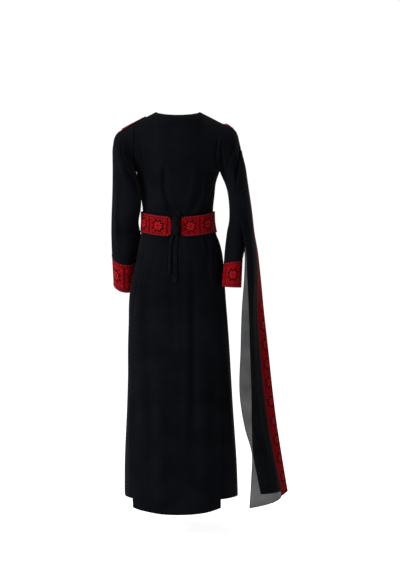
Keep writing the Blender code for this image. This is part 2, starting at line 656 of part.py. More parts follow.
def build_shoulder_band():
    """The narrow band along the left shoulder seam and over the sleeve head."""
    ys = steps(*BAND_REACH, BAND_COLUMNS)[::-1]
    on_seam = -steps(BAND_START_X, SHOULDER_TIP_X - SEAM_STEP, TRIM_ROWS)
    runs = steps(*BAND_RUN, TRIM_ROWS)
    back = steps(0, BAND_SLANT, len(on_seam) + len(runs) - 1)
    rows = [shoulder_point(x, ys - shift) for x, shift in zip(on_seam, back)]
    over = zip(runs, back[len(on_seam) :])
    rows += [sleeve_top(left_sleeve, LEFT_SLEEVE, -1, run, ys - shift) for run, shift in over]
    points = np.array(rows)
    outward = ribbon_normals(points)
    lift = CLOTH / 2 + SEAM_GAP + TRIM / 2 + 2 * SURFACE_EASE
    add_wall("shoulder_band_left", points + outward * lift, outward, TRIM, RED_EMBROIDERY)


def build_knot():
    knot = bmesh.new()
    bmesh.ops.create_uvsphere(knot, u_segments=KNOT_SIDES, v_segments=KNOT_ROWS, radius=1)
    bmesh.ops.scale(knot, vec=KNOT_SIZE, verts=knot.verts[:])
    bmesh.ops.translate(knot, vec=KNOT_PLACE, verts=knot.verts[:])
    mesh = bpy.data.meshes.new("tie_knot")
    knot.to_mesh(mesh)
    knot.free()
    finish_object("tie_knot", mesh, BLACK_CREPE)


def build_loop():
    """The bow loop is a flat tape that stands up behind the knot in an arch."""
    across, turn = np.meshgrid(steps(-1, 1, 2) * LOOP_TAPE / 2, steps(0, math.pi, LOOP_STEPS))
    x = KNOT_PLACE[0] - (LOOP_REACH[0] + across) * np.cos(turn)
    y = KNOT_PLACE[1] + LOOP_LEAN * np.sin(turn)
    z = KNOT_PLACE[2] + LOOP_FOOT + (LOOP_REACH[1] + across) * np.sin(turn)
    points = np.stack((x, y, z), axis=-1)
    outward = np.zeros_like(points)
    outward[..., 1] = -1
    add_wall("tie_loop", points, outward, CLOTH, BLACK_CREPE)


def build_tie():
    for name, surface, table in (("left", left_tail, LEFT_TAIL), ("right", right_tail, RIGHT_TAIL)):
        down = steps(table[0].drop, table[-1].drop, TAIL_ROWS)
        add_panel("tie_tail_" + name, surface, steps(-1, 1, 2), down, CLOTH, BLACK_CREPE)
    build_knot()
    build_loop()


def main():
    clear_scene()
    build_bodice()
    build_skirt()
    build_sleeves()
    build_belt()
    build_shoulder_band()
    build_tie()
    build_veil()
    build_border()


main()
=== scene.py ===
import math
from collections import namedtuple

import bmesh
import bpy
import numpy as np
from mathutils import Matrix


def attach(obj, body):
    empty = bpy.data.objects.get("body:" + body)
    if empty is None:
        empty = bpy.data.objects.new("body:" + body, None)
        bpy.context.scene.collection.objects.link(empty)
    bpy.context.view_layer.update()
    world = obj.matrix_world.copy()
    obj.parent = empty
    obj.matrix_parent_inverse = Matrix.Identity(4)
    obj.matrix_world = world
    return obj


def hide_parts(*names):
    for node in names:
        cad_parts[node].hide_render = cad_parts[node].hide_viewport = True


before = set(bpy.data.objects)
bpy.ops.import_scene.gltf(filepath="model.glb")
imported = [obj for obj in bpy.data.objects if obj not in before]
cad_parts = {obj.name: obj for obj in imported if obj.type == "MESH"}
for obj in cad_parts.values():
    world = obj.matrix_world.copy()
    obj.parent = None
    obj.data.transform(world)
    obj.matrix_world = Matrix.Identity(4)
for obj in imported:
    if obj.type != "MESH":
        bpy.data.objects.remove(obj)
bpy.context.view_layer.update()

# Sizes of the dress, in metres. A drop is a distance below the top of the shoulders
CLOTH = 0.0018
TRIM = 0.0022
CHIFFON = 0.0014
SEAM_GAP = 0.0003
CREPE_SHELL = 0.0011
CHIFFON_SHELL = 0.0006
WAIST_DROP = 0.394
ARMPIT_DROP = 0.214
SHOULDER_TIP_DROP = 0.042
SHOULDER_TIP_X = 0.160
ARMPIT_X = 0.149
ARMHOLE_DEPTH = 0.072
NECK_HALF_WIDTH = 0.078
BACK_NECK_DEPTH = 0.060
BACK_NECK_DROP = 0.014
FRONT_NECK_DEPTH = 0.058
FRONT_NECK_DROP = 0.080
BACK_HEM_DROP = 1.424
BACK_HEM_RISE = 0.018
SIDE_HEM_DROP = 1.377
FRONT_HEM_DROP = 1.388
SKIRT_LAP = 0.030
BELT_HEIGHT = 0.075
BELT_END_LEFT = -0.0225
BELT_END_RIGHT = 0.0095
BELT_END_ROUNDING = 0.016
BELT_END_NARROWING = 0.42
BELT_EASE = 0.0006
BELT_DIP = 0.0160
BORDER_WIDTH = 0.040
BORDER_START_DROP = 0.138
BORDER_HEM_DROP = 1.383
BORDER_HEM_RISE = 0.012
SURFACE_EASE = 0.0004
KNOT_PLACE = (-0.0065, -0.1061, -0.405)
KNOT_SIZE = (0.0165, 0.0095, 0.0330)
LOOP_REACH = (0.0105, 0.0160)
LOOP_TAPE = 0.0076
LOOP_FOOT = 0.0310
LOOP_LEAN = 0.0040
BAND_REACH = (-0.012, 0.034)
BAND_SLANT = 0.026
BAND_START_X = 0.114
BAND_RUN = (0.02, 0.124)
SEAM_STEP = 0.0040
CUFF_START = 1.006
ROUNDNESS = 0.90
NECK_SQUARENESS = 0.6
LOWER_SHARE = 0.36
ARMHOLE_BLEND = 1.5
CHEST_SLOPE = {-1: 0.08, 1: -0.16}
FOLD_FADE = 3
TINY = 1e-4
HALVINGS = 40

# The way a fold's line is measured: metres round the piece for a degree, and along it for a run of 1
SKIRT_DEGREE = 0.0028
BODICE_DEGREE = 0.0021
SLEEVE_DEGREE = 0.00084
SLEEVE_RUN = 0.48

# Form of the body sections, the skirt's back panel, the sleeves and the veil
Section = namedtuple("Section", "drop left right back front")
BODY = (
    Section(0.214, 0.149, 0.149, 0.112, 0.116),
    Section(0.250, 0.141, 0.137, 0.109, 0.121),
    Section(0.300, 0.134, 0.131, 0.101, 0.115),
    Section(0.350, 0.127, 0.126, 0.093, 0.099),
    Section(0.394, 0.126, 0.127, 0.090, 0.092),
    Section(0.430, 0.128, 0.133, 0.093, 0.095),
    Section(0.465, 0.134, 0.147, 0.101, 0.100),
    Section(0.502, 0.140, 0.157, 0.109, 0.104),
    Section(0.553, 0.152, 0.163, 0.117, 0.109),
    Section(0.653, 0.171, 0.170, 0.127, 0.117),
    Section(0.765, 0.175, 0.179, 0.134, 0.126),
    Section(1.067, 0.185, 0.199, 0.147, 0.143),
    Section(1.283, 0.194, 0.214, 0.155, 0.154),
    Section(1.424, 0.194, 0.219, 0.160, 0.160),
)
Edge = namedtuple("Edge", "drop left right stand_off")
BACK_PANEL = (
    Edge(0.394, 0.1225, 0.1235, 0.0034),
    Edge(0.553, 0.1480, 0.1550, 0.0034),
    Edge(0.653, 0.1650, 0.1575, 0.0036),
    Edge(0.765, 0.1690, 0.1520, 0.0044),
    Edge(1.085, 0.1670, 0.1490, 0.0070),
    Edge(1.241, 0.1600, 0.1490, 0.0090),
    Edge(1.424, 0.1490, 0.1490, 0.0100),
)
Ring = namedtuple("Ring", "run outer outer_drop inner inner_drop middle depth dip")
LEFT_SLEEVE = (
    Ring(0.00, 0.1611, 0.0425, 0.1521, 0.2135, 0.000, 0.0715, 0.000),
    Ring(0.06, 0.1800, 0.0525, 0.1522, 0.2190, 0.000, 0.0730, 0.000),
    Ring(0.12, 0.1985, 0.0635, 0.1515, 0.2260, -0.006, 0.0730, 0.000),
    Ring(0.18, 0.2160, 0.0770, 0.1485, 0.2340, -0.017, 0.0720, 0.000),
    Ring(0.24, 0.2260, 0.0960, 0.1430, 0.2450, -0.030, 0.0700, 0.000),
    Ring(0.31, 0.2300, 0.1250, 0.1385, 0.2600, -0.041, 0.0670, 0.000),
    Ring(0.39, 0.2310, 0.1650, 0.1342, 0.2850, -0.047, 0.0635, 0.000),
    Ring(0.48, 0.2315, 0.2200, 0.1315, 0.3100, -0.045, 0.0600, 0.000),
    Ring(0.58, 0.2335, 0.2900, 0.1330, 0.3450, -0.031, 0.0560, 0.000),
    Ring(0.69, 0.2380, 0.3700, 0.1420, 0.3950, -0.006, 0.0520, 0.004),
    Ring(0.80, 0.2405, 0.4300, 0.1355, 0.4450, 0.018, 0.0490, 0.014),
    Ring(0.90, 0.2405, 0.4750, 0.1405, 0.4850, 0.035, 0.0475, 0.023),
    Ring(1.00, 0.2400, 0.5130, 0.1490, 0.5250, 0.049, 0.0465, 0.027),
)
RIGHT_SLEEVE = (
    Ring(0.00, 0.1611, 0.0425, 0.1521, 0.2135, 0.000, 0.0715, 0.000),
    Ring(0.06, 0.1750, 0.0465, 0.1535, 0.2200, 0.000, 0.0730, 0.000),
    Ring(0.12, 0.1910, 0.0570, 0.1565, 0.2270, 0.000, 0.0725, 0.000),
    Ring(0.18, 0.2060, 0.0740, 0.1605, 0.2360, -0.001, 0.0710, 0.000),
    Ring(0.24, 0.2140, 0.0980, 0.1655, 0.2470, -0.002, 0.0680, 0.000),
    Ring(0.31, 0.2175, 0.1250, 0.1715, 0.2620, -0.004, 0.0650, 0.000),
    Ring(0.39, 0.2220, 0.1650, 0.1780, 0.2850, -0.006, 0.0600, 0.000),
    Ring(0.48, 0.2305, 0.2250, 0.1830, 0.3200, -0.010, 0.0550, 0.000),
    Ring(0.58, 0.2420, 0.2900, 0.1850, 0.3600, -0.018, 0.0500, 0.000),
    Ring(0.69, 0.2515, 0.3600, 0.1830, 0.3950, -0.026, 0.0470, 0.000),
    Ring(0.80, 0.2505, 0.4200, 0.1760, 0.4300, -0.037, 0.0460, 0.000),
    Ring(0.90, 0.2410, 0.4750, 0.1690, 0.4850, -0.051, 0.0445, 0.000),
    Ring(1.00, 0.2300, 0.5270, 0.1645, 0.5370, -0.063, 0.0430, 0.000),
)
LEFT_CUFF_END = Ring(2.00, 0.2365, 0.6190, 0.1530, 0.6310, 0.085, 0.0465, 0.025)
RIGHT_CUFF_END = Ring(2.00, 0.2250, 0.6250, 0.1575, 0.6220, -0.082, 0.0420, 0.000)
Fall = namedtuple("Fall", "drop edge edge_y side side_y reach folded_edge")
VEIL = (
    Fall(0.122, 0.2200, -0.0150, 0.2235, 0.000, 0.2240, 0.2200),
    Fall(0.150, 0.2225, -0.0290, 0.2285, 0.000, 0.2315, 0.2225),
    Fall(0.188, 0.2190, -0.0550, 0.2370, 0.000, 0.2415, 0.2190),
    Fall(0.258, 0.2070, -0.0790, 0.2475, 0.000, 0.2525, 0.2070),
    Fall(0.297, 0.2090, -0.0800, 0.2535, 0.000, 0.2585, 0.2090),
    Fall(0.352, 0.2160, -0.0810, 0.2610, 0.000, 0.2665, 0.2160),
    Fall(0.440, 0.2310, -0.0920, 0.2710, 0.000, 0.2770, 0.2330),
    Fall(0.495, 0.2370, -0.0980, 0.2780, -0.002, 0.2870, 0.2410),
    Fall(0.587, 0.2360, -0.1020, 0.2840, -0.006, 0.2980, 0.2450),
    Fall(0.702, 0.2280, -0.1020, 0.2825, -0.012, 0.3090, 0.2500),
    Fall(0.837, 0.2240, -0.1000, 0.2900, -0.016, 0.3240, 0.2545),
    Fall(1.021, 0.2220, -0.0990, 0.3080, -0.020, 0.3440, 0.2610),
    Fall(1.129, 0.2400, -0.0980, 0.3230, -0.022, 0.3580, 0.2630),
    Fall(1.217, 0.2640, -0.0970, 0.3390, -0.022, 0.3720, 0.2680),
    Fall(1.301, 0.2625, -0.0980, 0.3575, -0.022, 0.3860, 0.2830),
    Fall(1.412, 0.2560, -0.1000, 0.3780, -0.022, 0.4050, 0.3050),
)
Over = namedtuple("Over", "run behind")
BORDER_ON_SLEEVE = (
    Over(0.035, -0.032),
    Over(0.080, -0.034),
    Over(0.130, -0.020),
    Over(0.180, -0.008),
    Over(0.220, -0.001),
    Over(0.260, 0.002),
)
VEIL_TOP = 0.122
VEIL_HEM_INNER = 1.412
VEIL_HEM_OUTER = 1.380
FOLDED_TOP = 0.140
FOLDED_HEM = 1.362
FOLDED_STAND_OFF = 0.0045
FOLDED_PARTING = 0.060
FOLDED_REACH = 0.90
FOLDED_JOIN = 0.30
TieStep = namedtuple("TieStep", "drop x width")
LEFT_TAIL = (
    TieStep(0.432, -0.0150, 0.009),
    TieStep(0.446, -0.0185, 0.010),
    TieStep(0.460, -0.0230, 0.010),
    TieStep(0.520, -0.0270, 0.010),
    TieStep(0.574, -0.0275, 0.011),
)
RIGHT_TAIL = (
    TieStep(0.432, -0.0010, 0.010),
    TieStep(0.446, -0.0030, 0.012),
    TieStep(0.474, -0.0075, 0.014),
    TieStep(0.560, -0.0085, 0.014),
    TieStep(0.608, -0.0110, 0.020),
)

# Long soft folds: their line by distance across and drop, their height out of the cloth, half width
Fold = namedtuple("Fold", "start middle end height width")
BODICE_FOLDS = (
    Fold((-0.043, 0.170), (-0.047, 0.269), (-0.022, 0.372), -0.0060, 0.011),
    Fold((-0.062, 0.190), (-0.064, 0.280), (-0.036, 0.372), 0.0045, 0.012),
    Fold((0.088, 0.220), (0.078, 0.295), (0.045, 0.372), -0.0056, 0.011),
    Fold((0.098, 0.230), (0.094, 0.300), (0.062, 0.372), 0.0042, 0.011),
    Fold((0.062, 0.180), (0.060, 0.250), (0.030, 0.350), 0.0036, 0.013),
)
SKIRT_FOLDS = (
    Fold((0.034, 0.440), (0.034, 0.780), (0.026, 1.300), 0.0050, 0.013),
    Fold((0.052, 0.460), (0.055, 0.780), (0.052, 1.200), -0.0045, 0.014),
    Fold((-0.028, 0.560), (-0.018, 0.700), (-0.010, 0.900), -0.0045, 0.016),
    Fold((-0.128, 0.560), (-0.140, 0.800), (-0.112, 1.230), 0.0050, 0.015),
    Fold((-0.100, 0.520), (-0.106, 0.800), (-0.080, 1.230), -0.0040, 0.017),
    Fold((0.112, 0.430), (0.120, 0.500), (0.124, 0.640), 0.0040, 0.008),
    Fold((0.098, 0.430), (0.103, 0.500), (0.104, 0.600), -0.0035, 0.008),
    Fold((-0.070, 0.900), (-0.060, 1.150), (-0.055, 1.424), 0.0050, 0.022),
    Fold((0.100, 0.800), (0.098, 1.100), (0.092, 1.424), 0.0050, 0.022),
)

# Creases: a line from one turn in degrees and place along the piece to another, its bow and form
Crease = namedtuple("Crease", "turn place end_turn end_place bow height width")
SKIRT_CREASES = (
    Crease(33, 0.445, 41, 0.570, 0.000, 0.0022, 0.0060),
    Crease(47, 0.445, 54, 0.620, 0.003, -0.0020, 0.0065),
    Crease(-34, 0.450, -44, 0.640, 0.002, 0.0020, 0.0070),
    Crease(-52, 0.450, -62, 0.760, 0.000, -0.0022, 0.0080),
    Crease(-14, 0.460, -22, 0.620, 0.000, -0.0016, 0.0060),
    Crease(12, 0.600, 16, 1.150, 0.004, -0.0020, 0.0100),
    Crease(70, 0.450, 74, 0.800, 0.000, 0.0026, 0.0080),
    Crease(84, 0.445, 80, 0.700, 0.004, -0.0026, 0.0080),
    Crease(98, 0.450, 104, 0.940, 0.000, 0.0028, 0.0100),
    Crease(122, 0.445, 114, 0.700, 0.003, 0.0024, 0.0075),
    Crease(138, 0.445, 146, 0.860, -0.004, -0.0028, 0.0090),
    Crease(158, 0.445, 161, 0.760, 0.000, 0.0028, 0.0085),
    Crease(176, 0.445, 172, 0.660, 0.002, -0.0022, 0.0070),
    Crease(190, 0.445, 196, 0.980, 0.004, 0.0030, 0.0100),
    Crease(212, 0.445, 206, 0.720, 0.000, -0.0026, 0.0080),
    Crease(228, 0.445, 236, 0.840, 0.004, 0.0028, 0.0090),
    Crease(250, 0.450, 246, 0.680, 0.000, -0.0024, 0.0075),
    Crease(268, 0.450, 272, 0.940, 0.004, 0.0028, 0.0100),
    Crease(288, 0.450, 282, 0.700, 0.000, 0.0022, 0.0075),
    Crease(24, 0.980, 27, 1.440, 0.000, 0.0030, 0.0180),
    Crease(-24, 0.900, -26, 1.440, 0.000, -0.0026, 0.0180),
    Crease(66, 0.860, 69, 1.410, 0.000, 0.0040, 0.0200),
    Crease(96, 0.900, 98, 1.410, 0.000, -0.0030, 0.0190),
    Crease(128, 0.820, 132, 1.420, 0.000, 0.0046, 0.0220),
    Crease(160, 0.900, 158, 1.420, 0.000, -0.0034, 0.0200),
    Crease(186, 0.860, 189, 1.420, 0.000, 0.0046, 0.0220),
    Crease(216, 0.900, 213, 1.420, 0.000, -0.0034, 0.0200),
    Crease(246, 0.820, 250, 1.420, 0.000, 0.0046, 0.0220),
    Crease(276, 0.900, 272, 1.410, 0.000, -0.0030, 0.0200),
    Crease(302, 0.860, 300, 1.410, 0.000, 0.0036, 0.0190),
)
BACK_CREASES = (
    Crease(-66, 0.110, -50, 0.200, 0.006, -0.0036, 0.0060),
    Crease(-78, 0.130, -66, 0.250, 0.004, 0.0032, 0.0070),
    Crease(66, 0.085, 62, 0.190, -0.005, -0.0038, 0.0050),
    Crease(76, 0.080, 70, 0.205, -0.004, 0.0032, 0.0060),
    Crease(-28, 0.300, -10, 0.368, 0.003, -0.0016, 0.0045),
    Crease(26, 0.300, 8, 0.368, -0.003, 0.0018, 0.0050),
    Crease(46, 0.320, 24, 0.366, -0.002, -0.0016, 0.0045),
    Crease(-56, 0.320, -34, 0.366, 0.002, 0.0016, 0.0050),
    Crease(-20, 0.060, 20, 0.066, 0.010, -0.0014, 0.0080),
    Crease(72, 0.250, 58, 0.330, 0.000, -0.0020, 0.0060),
    Crease(-74, 0.270, -60, 0.340, 0.000, -0.0020, 0.0060),
)
FRONT_CREASES = (
    Crease(-68, 0.110, -44, 0.190, 0.008, -0.0024, 0.0070),
    Crease(68, 0.110, 44, 0.190, -0.008, -0.0024, 0.0070),
    Crease(-34, 0.230, -18, 0.362, 0.004, 0.0028, 0.0090),
    Crease(30, 0.220, 20, 0.362, -0.004, -0.0026, 0.0080),
    Crease(-52, 0.250, -38, 0.362, 0.003, -0.0026, 0.0080),
    Crease(50, 0.260, 40, 0.362, -0.003, 0.0028, 0.0090),
    Crease(-6, 0.260, -2, 0.362, 0.002, -0.0018, 0.0060),
    Crease(72, 0.250, 62, 0.350, 0.000, -0.0022, 0.0070),
    Crease(-72, 0.250, -62, 0.350, 0.000, 0.0022, 0.0070),
)
LEFT_CREASES = (
    Crease(330, 0.060, 350, 0.300, 0.000, 0.0034, 0.0130),
    Crease(118, 0.170, 54, 0.400, 0.006, -0.0046, 0.0070),
    Crease(128, 0.260, 84, 0.460, 0.004, 0.0036, 0.0080),
    Crease(58, 0.060, 48, 0.260, 0.004, 0.0034, 0.0070),
    Crease(128, 0.500, 124, 0.880, 0.003, 0.0038, 0.0065),
    Crease(108, 0.480, 104, 0.860, 0.003, -0.0028, 0.0070),
    Crease(92, 0.050, 84, 0.240, 0.004, -0.0020, 0.0080),
    Crease(40, 0.560, 104, 0.640, 0.003, -0.0022, 0.0055),
    Crease(30, 0.660, 110, 0.700, -0.003, 0.0022, 0.0060),
    Crease(26, 0.730, 96, 0.800, 0.003, -0.0022, 0.0055),
    Crease(120, 0.820, 60, 0.910, 0.002, 0.0016, 0.0060),
    Crease(230, 0.180, 300, 0.400, 0.005, -0.0032, 0.0075),
    Crease(260, 0.560, 320, 0.640, 0.003, -0.0026, 0.0060),
    Crease(250, 0.660, 330, 0.690, -0.003, 0.0026, 0.0065),
    Crease(262, 0.760, 322, 0.800, 0.002, -0.0022, 0.0060),
    Crease(180, 0.300, 200, 0.520, 0.003, 0.0020, 0.0090),
    Crease(200, 0.840, 270, 0.930, 0.003, 0.0020, 0.0065),
)
RIGHT_CREASES = (
    Crease(180, 0.270, 180, 0.440, 0.000, 0.0026, 0.0120),
    Crease(52, 0.200, 122, 0.190, -0.007, -0.0040, 0.0060),
    Crease(56, 0.250, 128, 0.250, -0.006, 0.0026, 0.0070),
    Crease(134, 0.340, 118, 0.520, 0.003, 0.0032, 0.0060),
    Crease(112, 0.300, 94, 0.500, 0.003, -0.0024, 0.0070),
    Crease(24, 0.540, 118, 0.570, 0.004, -0.0026, 0.0055),
    Crease(20, 0.620, 124, 0.670, -0.004, 0.0028, 0.0065),
    Crease(18, 0.710, 116, 0.740, 0.003, -0.0028, 0.0055),
    Crease(22, 0.790, 104, 0.850, 0.003, 0.0020, 0.0065),
    Crease(110, 0.880, 50, 0.950, 0.002, -0.0014, 0.0055),
    Crease(232, 0.200, 306, 0.260, 0.005, -0.0032, 0.0070),
    Crease(244, 0.560, 330, 0.600, 0.003, -0.0028, 0.0060),
    Crease(240, 0.660, 338, 0.690, -0.003, 0.0028, 0.0065),
    Crease(250, 0.760, 330, 0.800, 0.003, -0.0024, 0.0060),
    Crease(70, 0.050, 60, 0.180, 0.003, 0.0022, 0.0060),
)
SHEER_CREASES = (
    Crease(5, 1.045, 48, 1.030, 0.004, 0.0022, 0.0035),
    Crease(6, 1.118, 50, 1.104, 0.003, 0.0018, 0.0030),
    Crease(20, 1.280, 46, 1.410, 0.004, 0.0030, 0.0050),
    Crease(34, 0.600, 30, 1.000, 0.004, -0.0020, 0.0070),
    Crease(70, 0.700, 62, 1.360, 0.004, 0.0030, 0.0090),
)
FOLDED_CREASES = (
    Crease(30, 0.300, 36, 1.340, 0.006, 0.0022, 0.0080),
    Crease(56, 0.450, 52, 1.340, 0.004, -0.0024, 0.0080),
    Crease(76, 0.600, 74, 1.340, 0.003, 0.0022, 0.0070),
    Crease(12, 0.260, 20, 0.620, 0.003, -0.0016, 0.0060),
)


def curve(rows, column, key="drop"):
    """A smooth function through one column of a table."""
    at = np.array([getattr(row, key) for row in rows])
    value = np.array([getattr(row, column) for row in rows])
    slope = np.gradient(value, at)

    def read(where):
        where = np.clip(where, at[0], at[-1])
        i = np.clip(np.searchsorted(at, where, side="right") - 1, 0, len(at) - 2)
        step = at[i + 1] - at[i]
        s = (where - at[i]) / step
        start = value[i] * (1 + 2 * s) * (1 - s) ** 2 + slope[i] * step * s * (1 - s) ** 2
        end = value[i + 1] * s * s * (3 - 2 * s) + slope[i + 1] * step * s * s * (s - 1)
        return start + end

    return read


def power(value, exponent):
    return np.sign(value) * np.abs(value) ** exponent


def smooth(low, high, value):
    s = np.clip((value - low) / (high - low), 0, 1)
    return s * s * (3 - 2 * s)


def steps(start, end, count):
    return np.linspace(start, end, count + 1)


body_left = curve(BODY, "left")
body_right = curve(BODY, "right")
body_back = curve(BODY, "back")
body_front = curve(BODY, "front")
panel_left = curve(BACK_PANEL, "left")
panel_right = curve(BACK_PANEL, "right")
panel_off = curve(BACK_PANEL, "stand_off")


def normals(surface, u, v):
    """Unit normals of a surface, pointing along du x dv."""
    du = surface(u + TINY, v) - surface(u - TINY, v)
    dv = surface(u, v + TINY) - surface(u, v - TINY)
    normal = np.cross(du, dv)
    return normal / np.maximum(np.linalg.norm(normal, axis=-1, keepdims=True), 1e-15)


def moved_out(surface, u, v, distance):
    """Points of a surface moved out along its normals; u runs to the right and v down, seen outside."""
    return surface(u, v) - normals(surface, u, v) * np.asarray(distance)[..., None]


def folds(x, drop, table):
    """How far the long folds of a table stand out at these places."""
    total = np.zeros(np.broadcast(x, drop).shape)
    for fold in table:
        top, middle, foot = fold.start[1], fold.middle[1], fold.end[1]
        line = np.interp(drop, (top, middle, foot), (fold.start[0], fold.middle[0], fold.end[0]))
        fade = (foot - top) / 4
        along = smooth(top, top + fade, drop) * (1 - smooth(foot - fade, foot, drop))
        total = total + fold.height * along * np.exp(-(((x - line) / fold.width) ** 2))
    return total


def creases(turn, place, table, degree, stretch=1, round_turn=0):
    """How far the creases of a table stand out; turn is in radians, and round_turn closes a tube."""
    total = np.zeros(np.broadcast(turn, place).shape)
    down = place * stretch
    shifts = (-round_turn, 0, round_turn) if round_turn else (0,)
    for line in table:
        for shift in shifts:
            across = (np.degrees(turn) + shift) * degree
            width = (line.end_turn - line.turn) * degree
            height = (line.end_place - line.place) * stretch
            length = math.hypot(width, height)
            from_start = across - line.turn * degree
            from_top = down - line.place * stretch
            along = (from_start * width + from_top * height) / length**2
            bow = line.bow * 4 * np.clip(along, 0, 1) * np.clip(1 - along, 0, 1)
            aside = (from_start * height - from_top * width) / length - bow
            fade = smooth(-0.12, 0.28, along) * (1 - smooth(0.72, 1.12, along))
            total = total + line.height * fade * np.exp(-((aside / line.width) ** 2))
    return total


def body_point(angle, drop):
    """Angle 0 is the middle of the back and 90 degrees the wearer's right side."""
    across, behind = power(np.sin(angle), ROUNDNESS), power(np.cos(angle), ROUNDNESS)
    x = across * np.where(across > 0, body_right(drop), body_left(drop))
    y = -behind * np.where(behind > 0, body_back(drop), body_front(drop))
    return np.stack((x, y, -drop + 0 * x), axis=-1)


def neck_and_shoulder(x, depth, drop):
    """(y, drop) of the top edge of a bodice panel: the neckline, then the shoulder seam."""
    inside = np.clip(1 - (x / NECK_HALF_WIDTH) ** 2, 0, 1)
    slope = SHOULDER_TIP_DROP / (SHOULDER_TIP_X - NECK_HALF_WIDTH)
    seam = np.clip(np.abs(x) - NECK_HALF_WIDTH, 0, None) * slope
    return depth * np.sqrt(inside), drop * inside**NECK_SQUARENESS + seam


def bodice(side_y, angle, rise):
    """A bodice panel by angle from its middle, -90 to 90 degrees, and rise, 0 at the waist to 1."""
    across, out = power(np.sin(angle), ROUNDNESS), np.abs(np.cos(angle)) ** ROUNDNESS
    lower = rise <= LOWER_SHARE
    drop = WAIST_DROP + (ARMPIT_DROP - WAIST_DROP) * np.clip(rise / LOWER_SHARE, 0, 1)
    depth = (body_back if side_y < 0 else body_front)(drop)
    low_x = across * np.where(across > 0, body_right(drop), body_left(drop))
    low_y = side_y * depth * out
    low_z = -drop

    turn = np.clip((rise - LOWER_SHARE) / (1 - LOWER_SHARE), 0, 1)
    up = (1 - np.cos(math.pi * turn)) / 2
    depth = depth + ARMPIT_DROP * CHEST_SLOPE[side_y] * up * (1 - up) ** 2
    high_x = across * (ARMPIT_X + (SHOULDER_TIP_X - ARMPIT_X) * up)
    neck = (BACK_NECK_DEPTH, BACK_NECK_DROP) if side_y < 0 else (FRONT_NECK_DEPTH, FRONT_NECK_DROP)
    top_y, top_drop = neck_and_shoulder(high_x, *neck)
    fullness = np.sqrt(np.clip(1 - up * up, 0, 1))
    armhole_y = ARMHOLE_DEPTH * 2 * np.sqrt(up / (1 + up))
    chest = depth * out + armhole_y * (1 - out) ** ARMHOLE_BLEND
    high_y = side_y * (top_y * (1 - fullness) + fullness * chest)
    high_z = -(ARMPIT_DROP + (top_drop - ARMPIT_DROP) * up)
    x = np.where(lower, low_x, high_x)
    y = np.where(lower, low_y, high_y)
    z = np.where(lower, low_z, high_z)
    if side_y < 0:
        y = y - folds(x, -z, BODICE_FOLDS)
    return np.stack((x, y, z), axis=-1)


def bodice_relief(point, angle, rise, table):
    """The creases of a bodice panel, which end before its seams."""
    inside = 1 - smooth(0.86, 0.99, np.abs(angle) * 2 / math.pi)
    below = 1 - smooth(0.90, 0.99, rise)
    above = smooth(0.02, 0.10, rise)
    return creases(angle, -point[..., 2], table, BODICE_DEGREE) * inside * below * above


def bodice_back_form(angle, rise):
    return bodice(-1, angle, rise)


def bodice_front_form(angle, rise):
    return bodice(1, -angle, rise)


def bodice_back(angle, rise):
    relief = bodice_relief(bodice_back_form(angle, rise), angle, rise, BACK_CREASES)
    return bodice_back_form(angle, rise) + normals(bodice_back_form, angle, rise) * relief[..., None]


def bodice_front(angle, rise):
    relief = bodice_relief(bodice_front_form(angle, rise), angle, rise, FRONT_CREASES)
    return bodice_front_form(angle, rise) + normals(bodice_front_form, angle, rise) * relief[..., None]


def edge_angle(edge, width):
    """The angle at which a section of this half width reaches that distance across."""
    return np.arcsin(np.clip(edge / width, 0, 1) ** (1 / ROUNDNESS))


def skirt_form(angle, drop):
    point = body_point(angle, drop)
    behind = np.clip(np.cos(angle) * FOLD_FADE, 0, 1)
    point[..., 1] -= behind * folds(point[..., 0], drop, SKIRT_FOLDS)
    return point


def skirt_base(angle, drop):
    """The skirt with its creases, gathers and the soft flutes that grow towards the hem."""
    relief = creases(angle, drop, SKIRT_CREASES, SKIRT_DEGREE, round_turn=360)
    gathered = np.exp(-(((drop - 0.47) / 0.045) ** 2))
    relief = relief + 0.0007 * gathered * np.sin(31 * angle + 1.7) * np.sin(13 * angle)
    fluted = smooth(0.60, 1.42, drop)
    flutes = 0.9 * np.sin(7 * angle + 0.8) + 0.7 * np.sin(12 * angle + 2.1 + 1.4 * drop)
    relief = relief + 0.0016 * fluted * flutes
    return moved_out(skirt_form, angle, drop, relief)


def skirt_back(across, fall):
    """The back panel, across from -1 to 1 and down from 0 to 1."""
    hem = BACK_HEM_DROP - BACK_HEM_RISE * across**2
    top = WAIST_DROP + SEAM_GAP
    drop = top + (hem - top) * fall
    right = edge_angle(panel_right(drop), body_right(drop))
    left = edge_angle(panel_left(drop), body_left(drop))
    angle = across * np.where(across > 0, right, left)
    return moved_out(skirt_base, angle, drop, panel_off(drop))


def skirt_front(around, fall):
    """The front and sides in one, from behind the back panel's right edge round to its left one."""
    side = np.abs(np.cos(around * math.pi))
    hem = FRONT_HEM_DROP + (SIDE_HEM_DROP - FRONT_HEM_DROP) * side
    top = WAIST_DROP + SEAM_GAP
    drop = top + (hem - top) * fall
    start = edge_angle(panel_right(drop) - SKIRT_LAP, body_right(drop))
    end = 2 * math.pi - edge_angle(panel_left(drop) - SKIRT_LAP, body_left(drop))
    return skirt_base(start + (end - start) * around, drop)


def sleeve_surface(table, side):
    read = {name: curve(table, name, "run") for name in Ring._fields}

    def point(angle, run):
        """Angle 0 is the inner side and 180 degrees the outer side, to the right across the back."""
        out = (1 - np.cos(angle)) / 2
        back = np.sin(side * angle)
        x = read["inner"](run) + (read["outer"](run) - read["inner"](run)) * out
        drop = read["inner_drop"](run) + (read["outer_drop"](run) - read["inner_drop"](run)) * out
        y = read["middle"](run) - read["depth"](run) * back
        drop = drop + read["dip"](run) * back
        return np.stack((side * x, y, -drop), axis=-1)

    return point


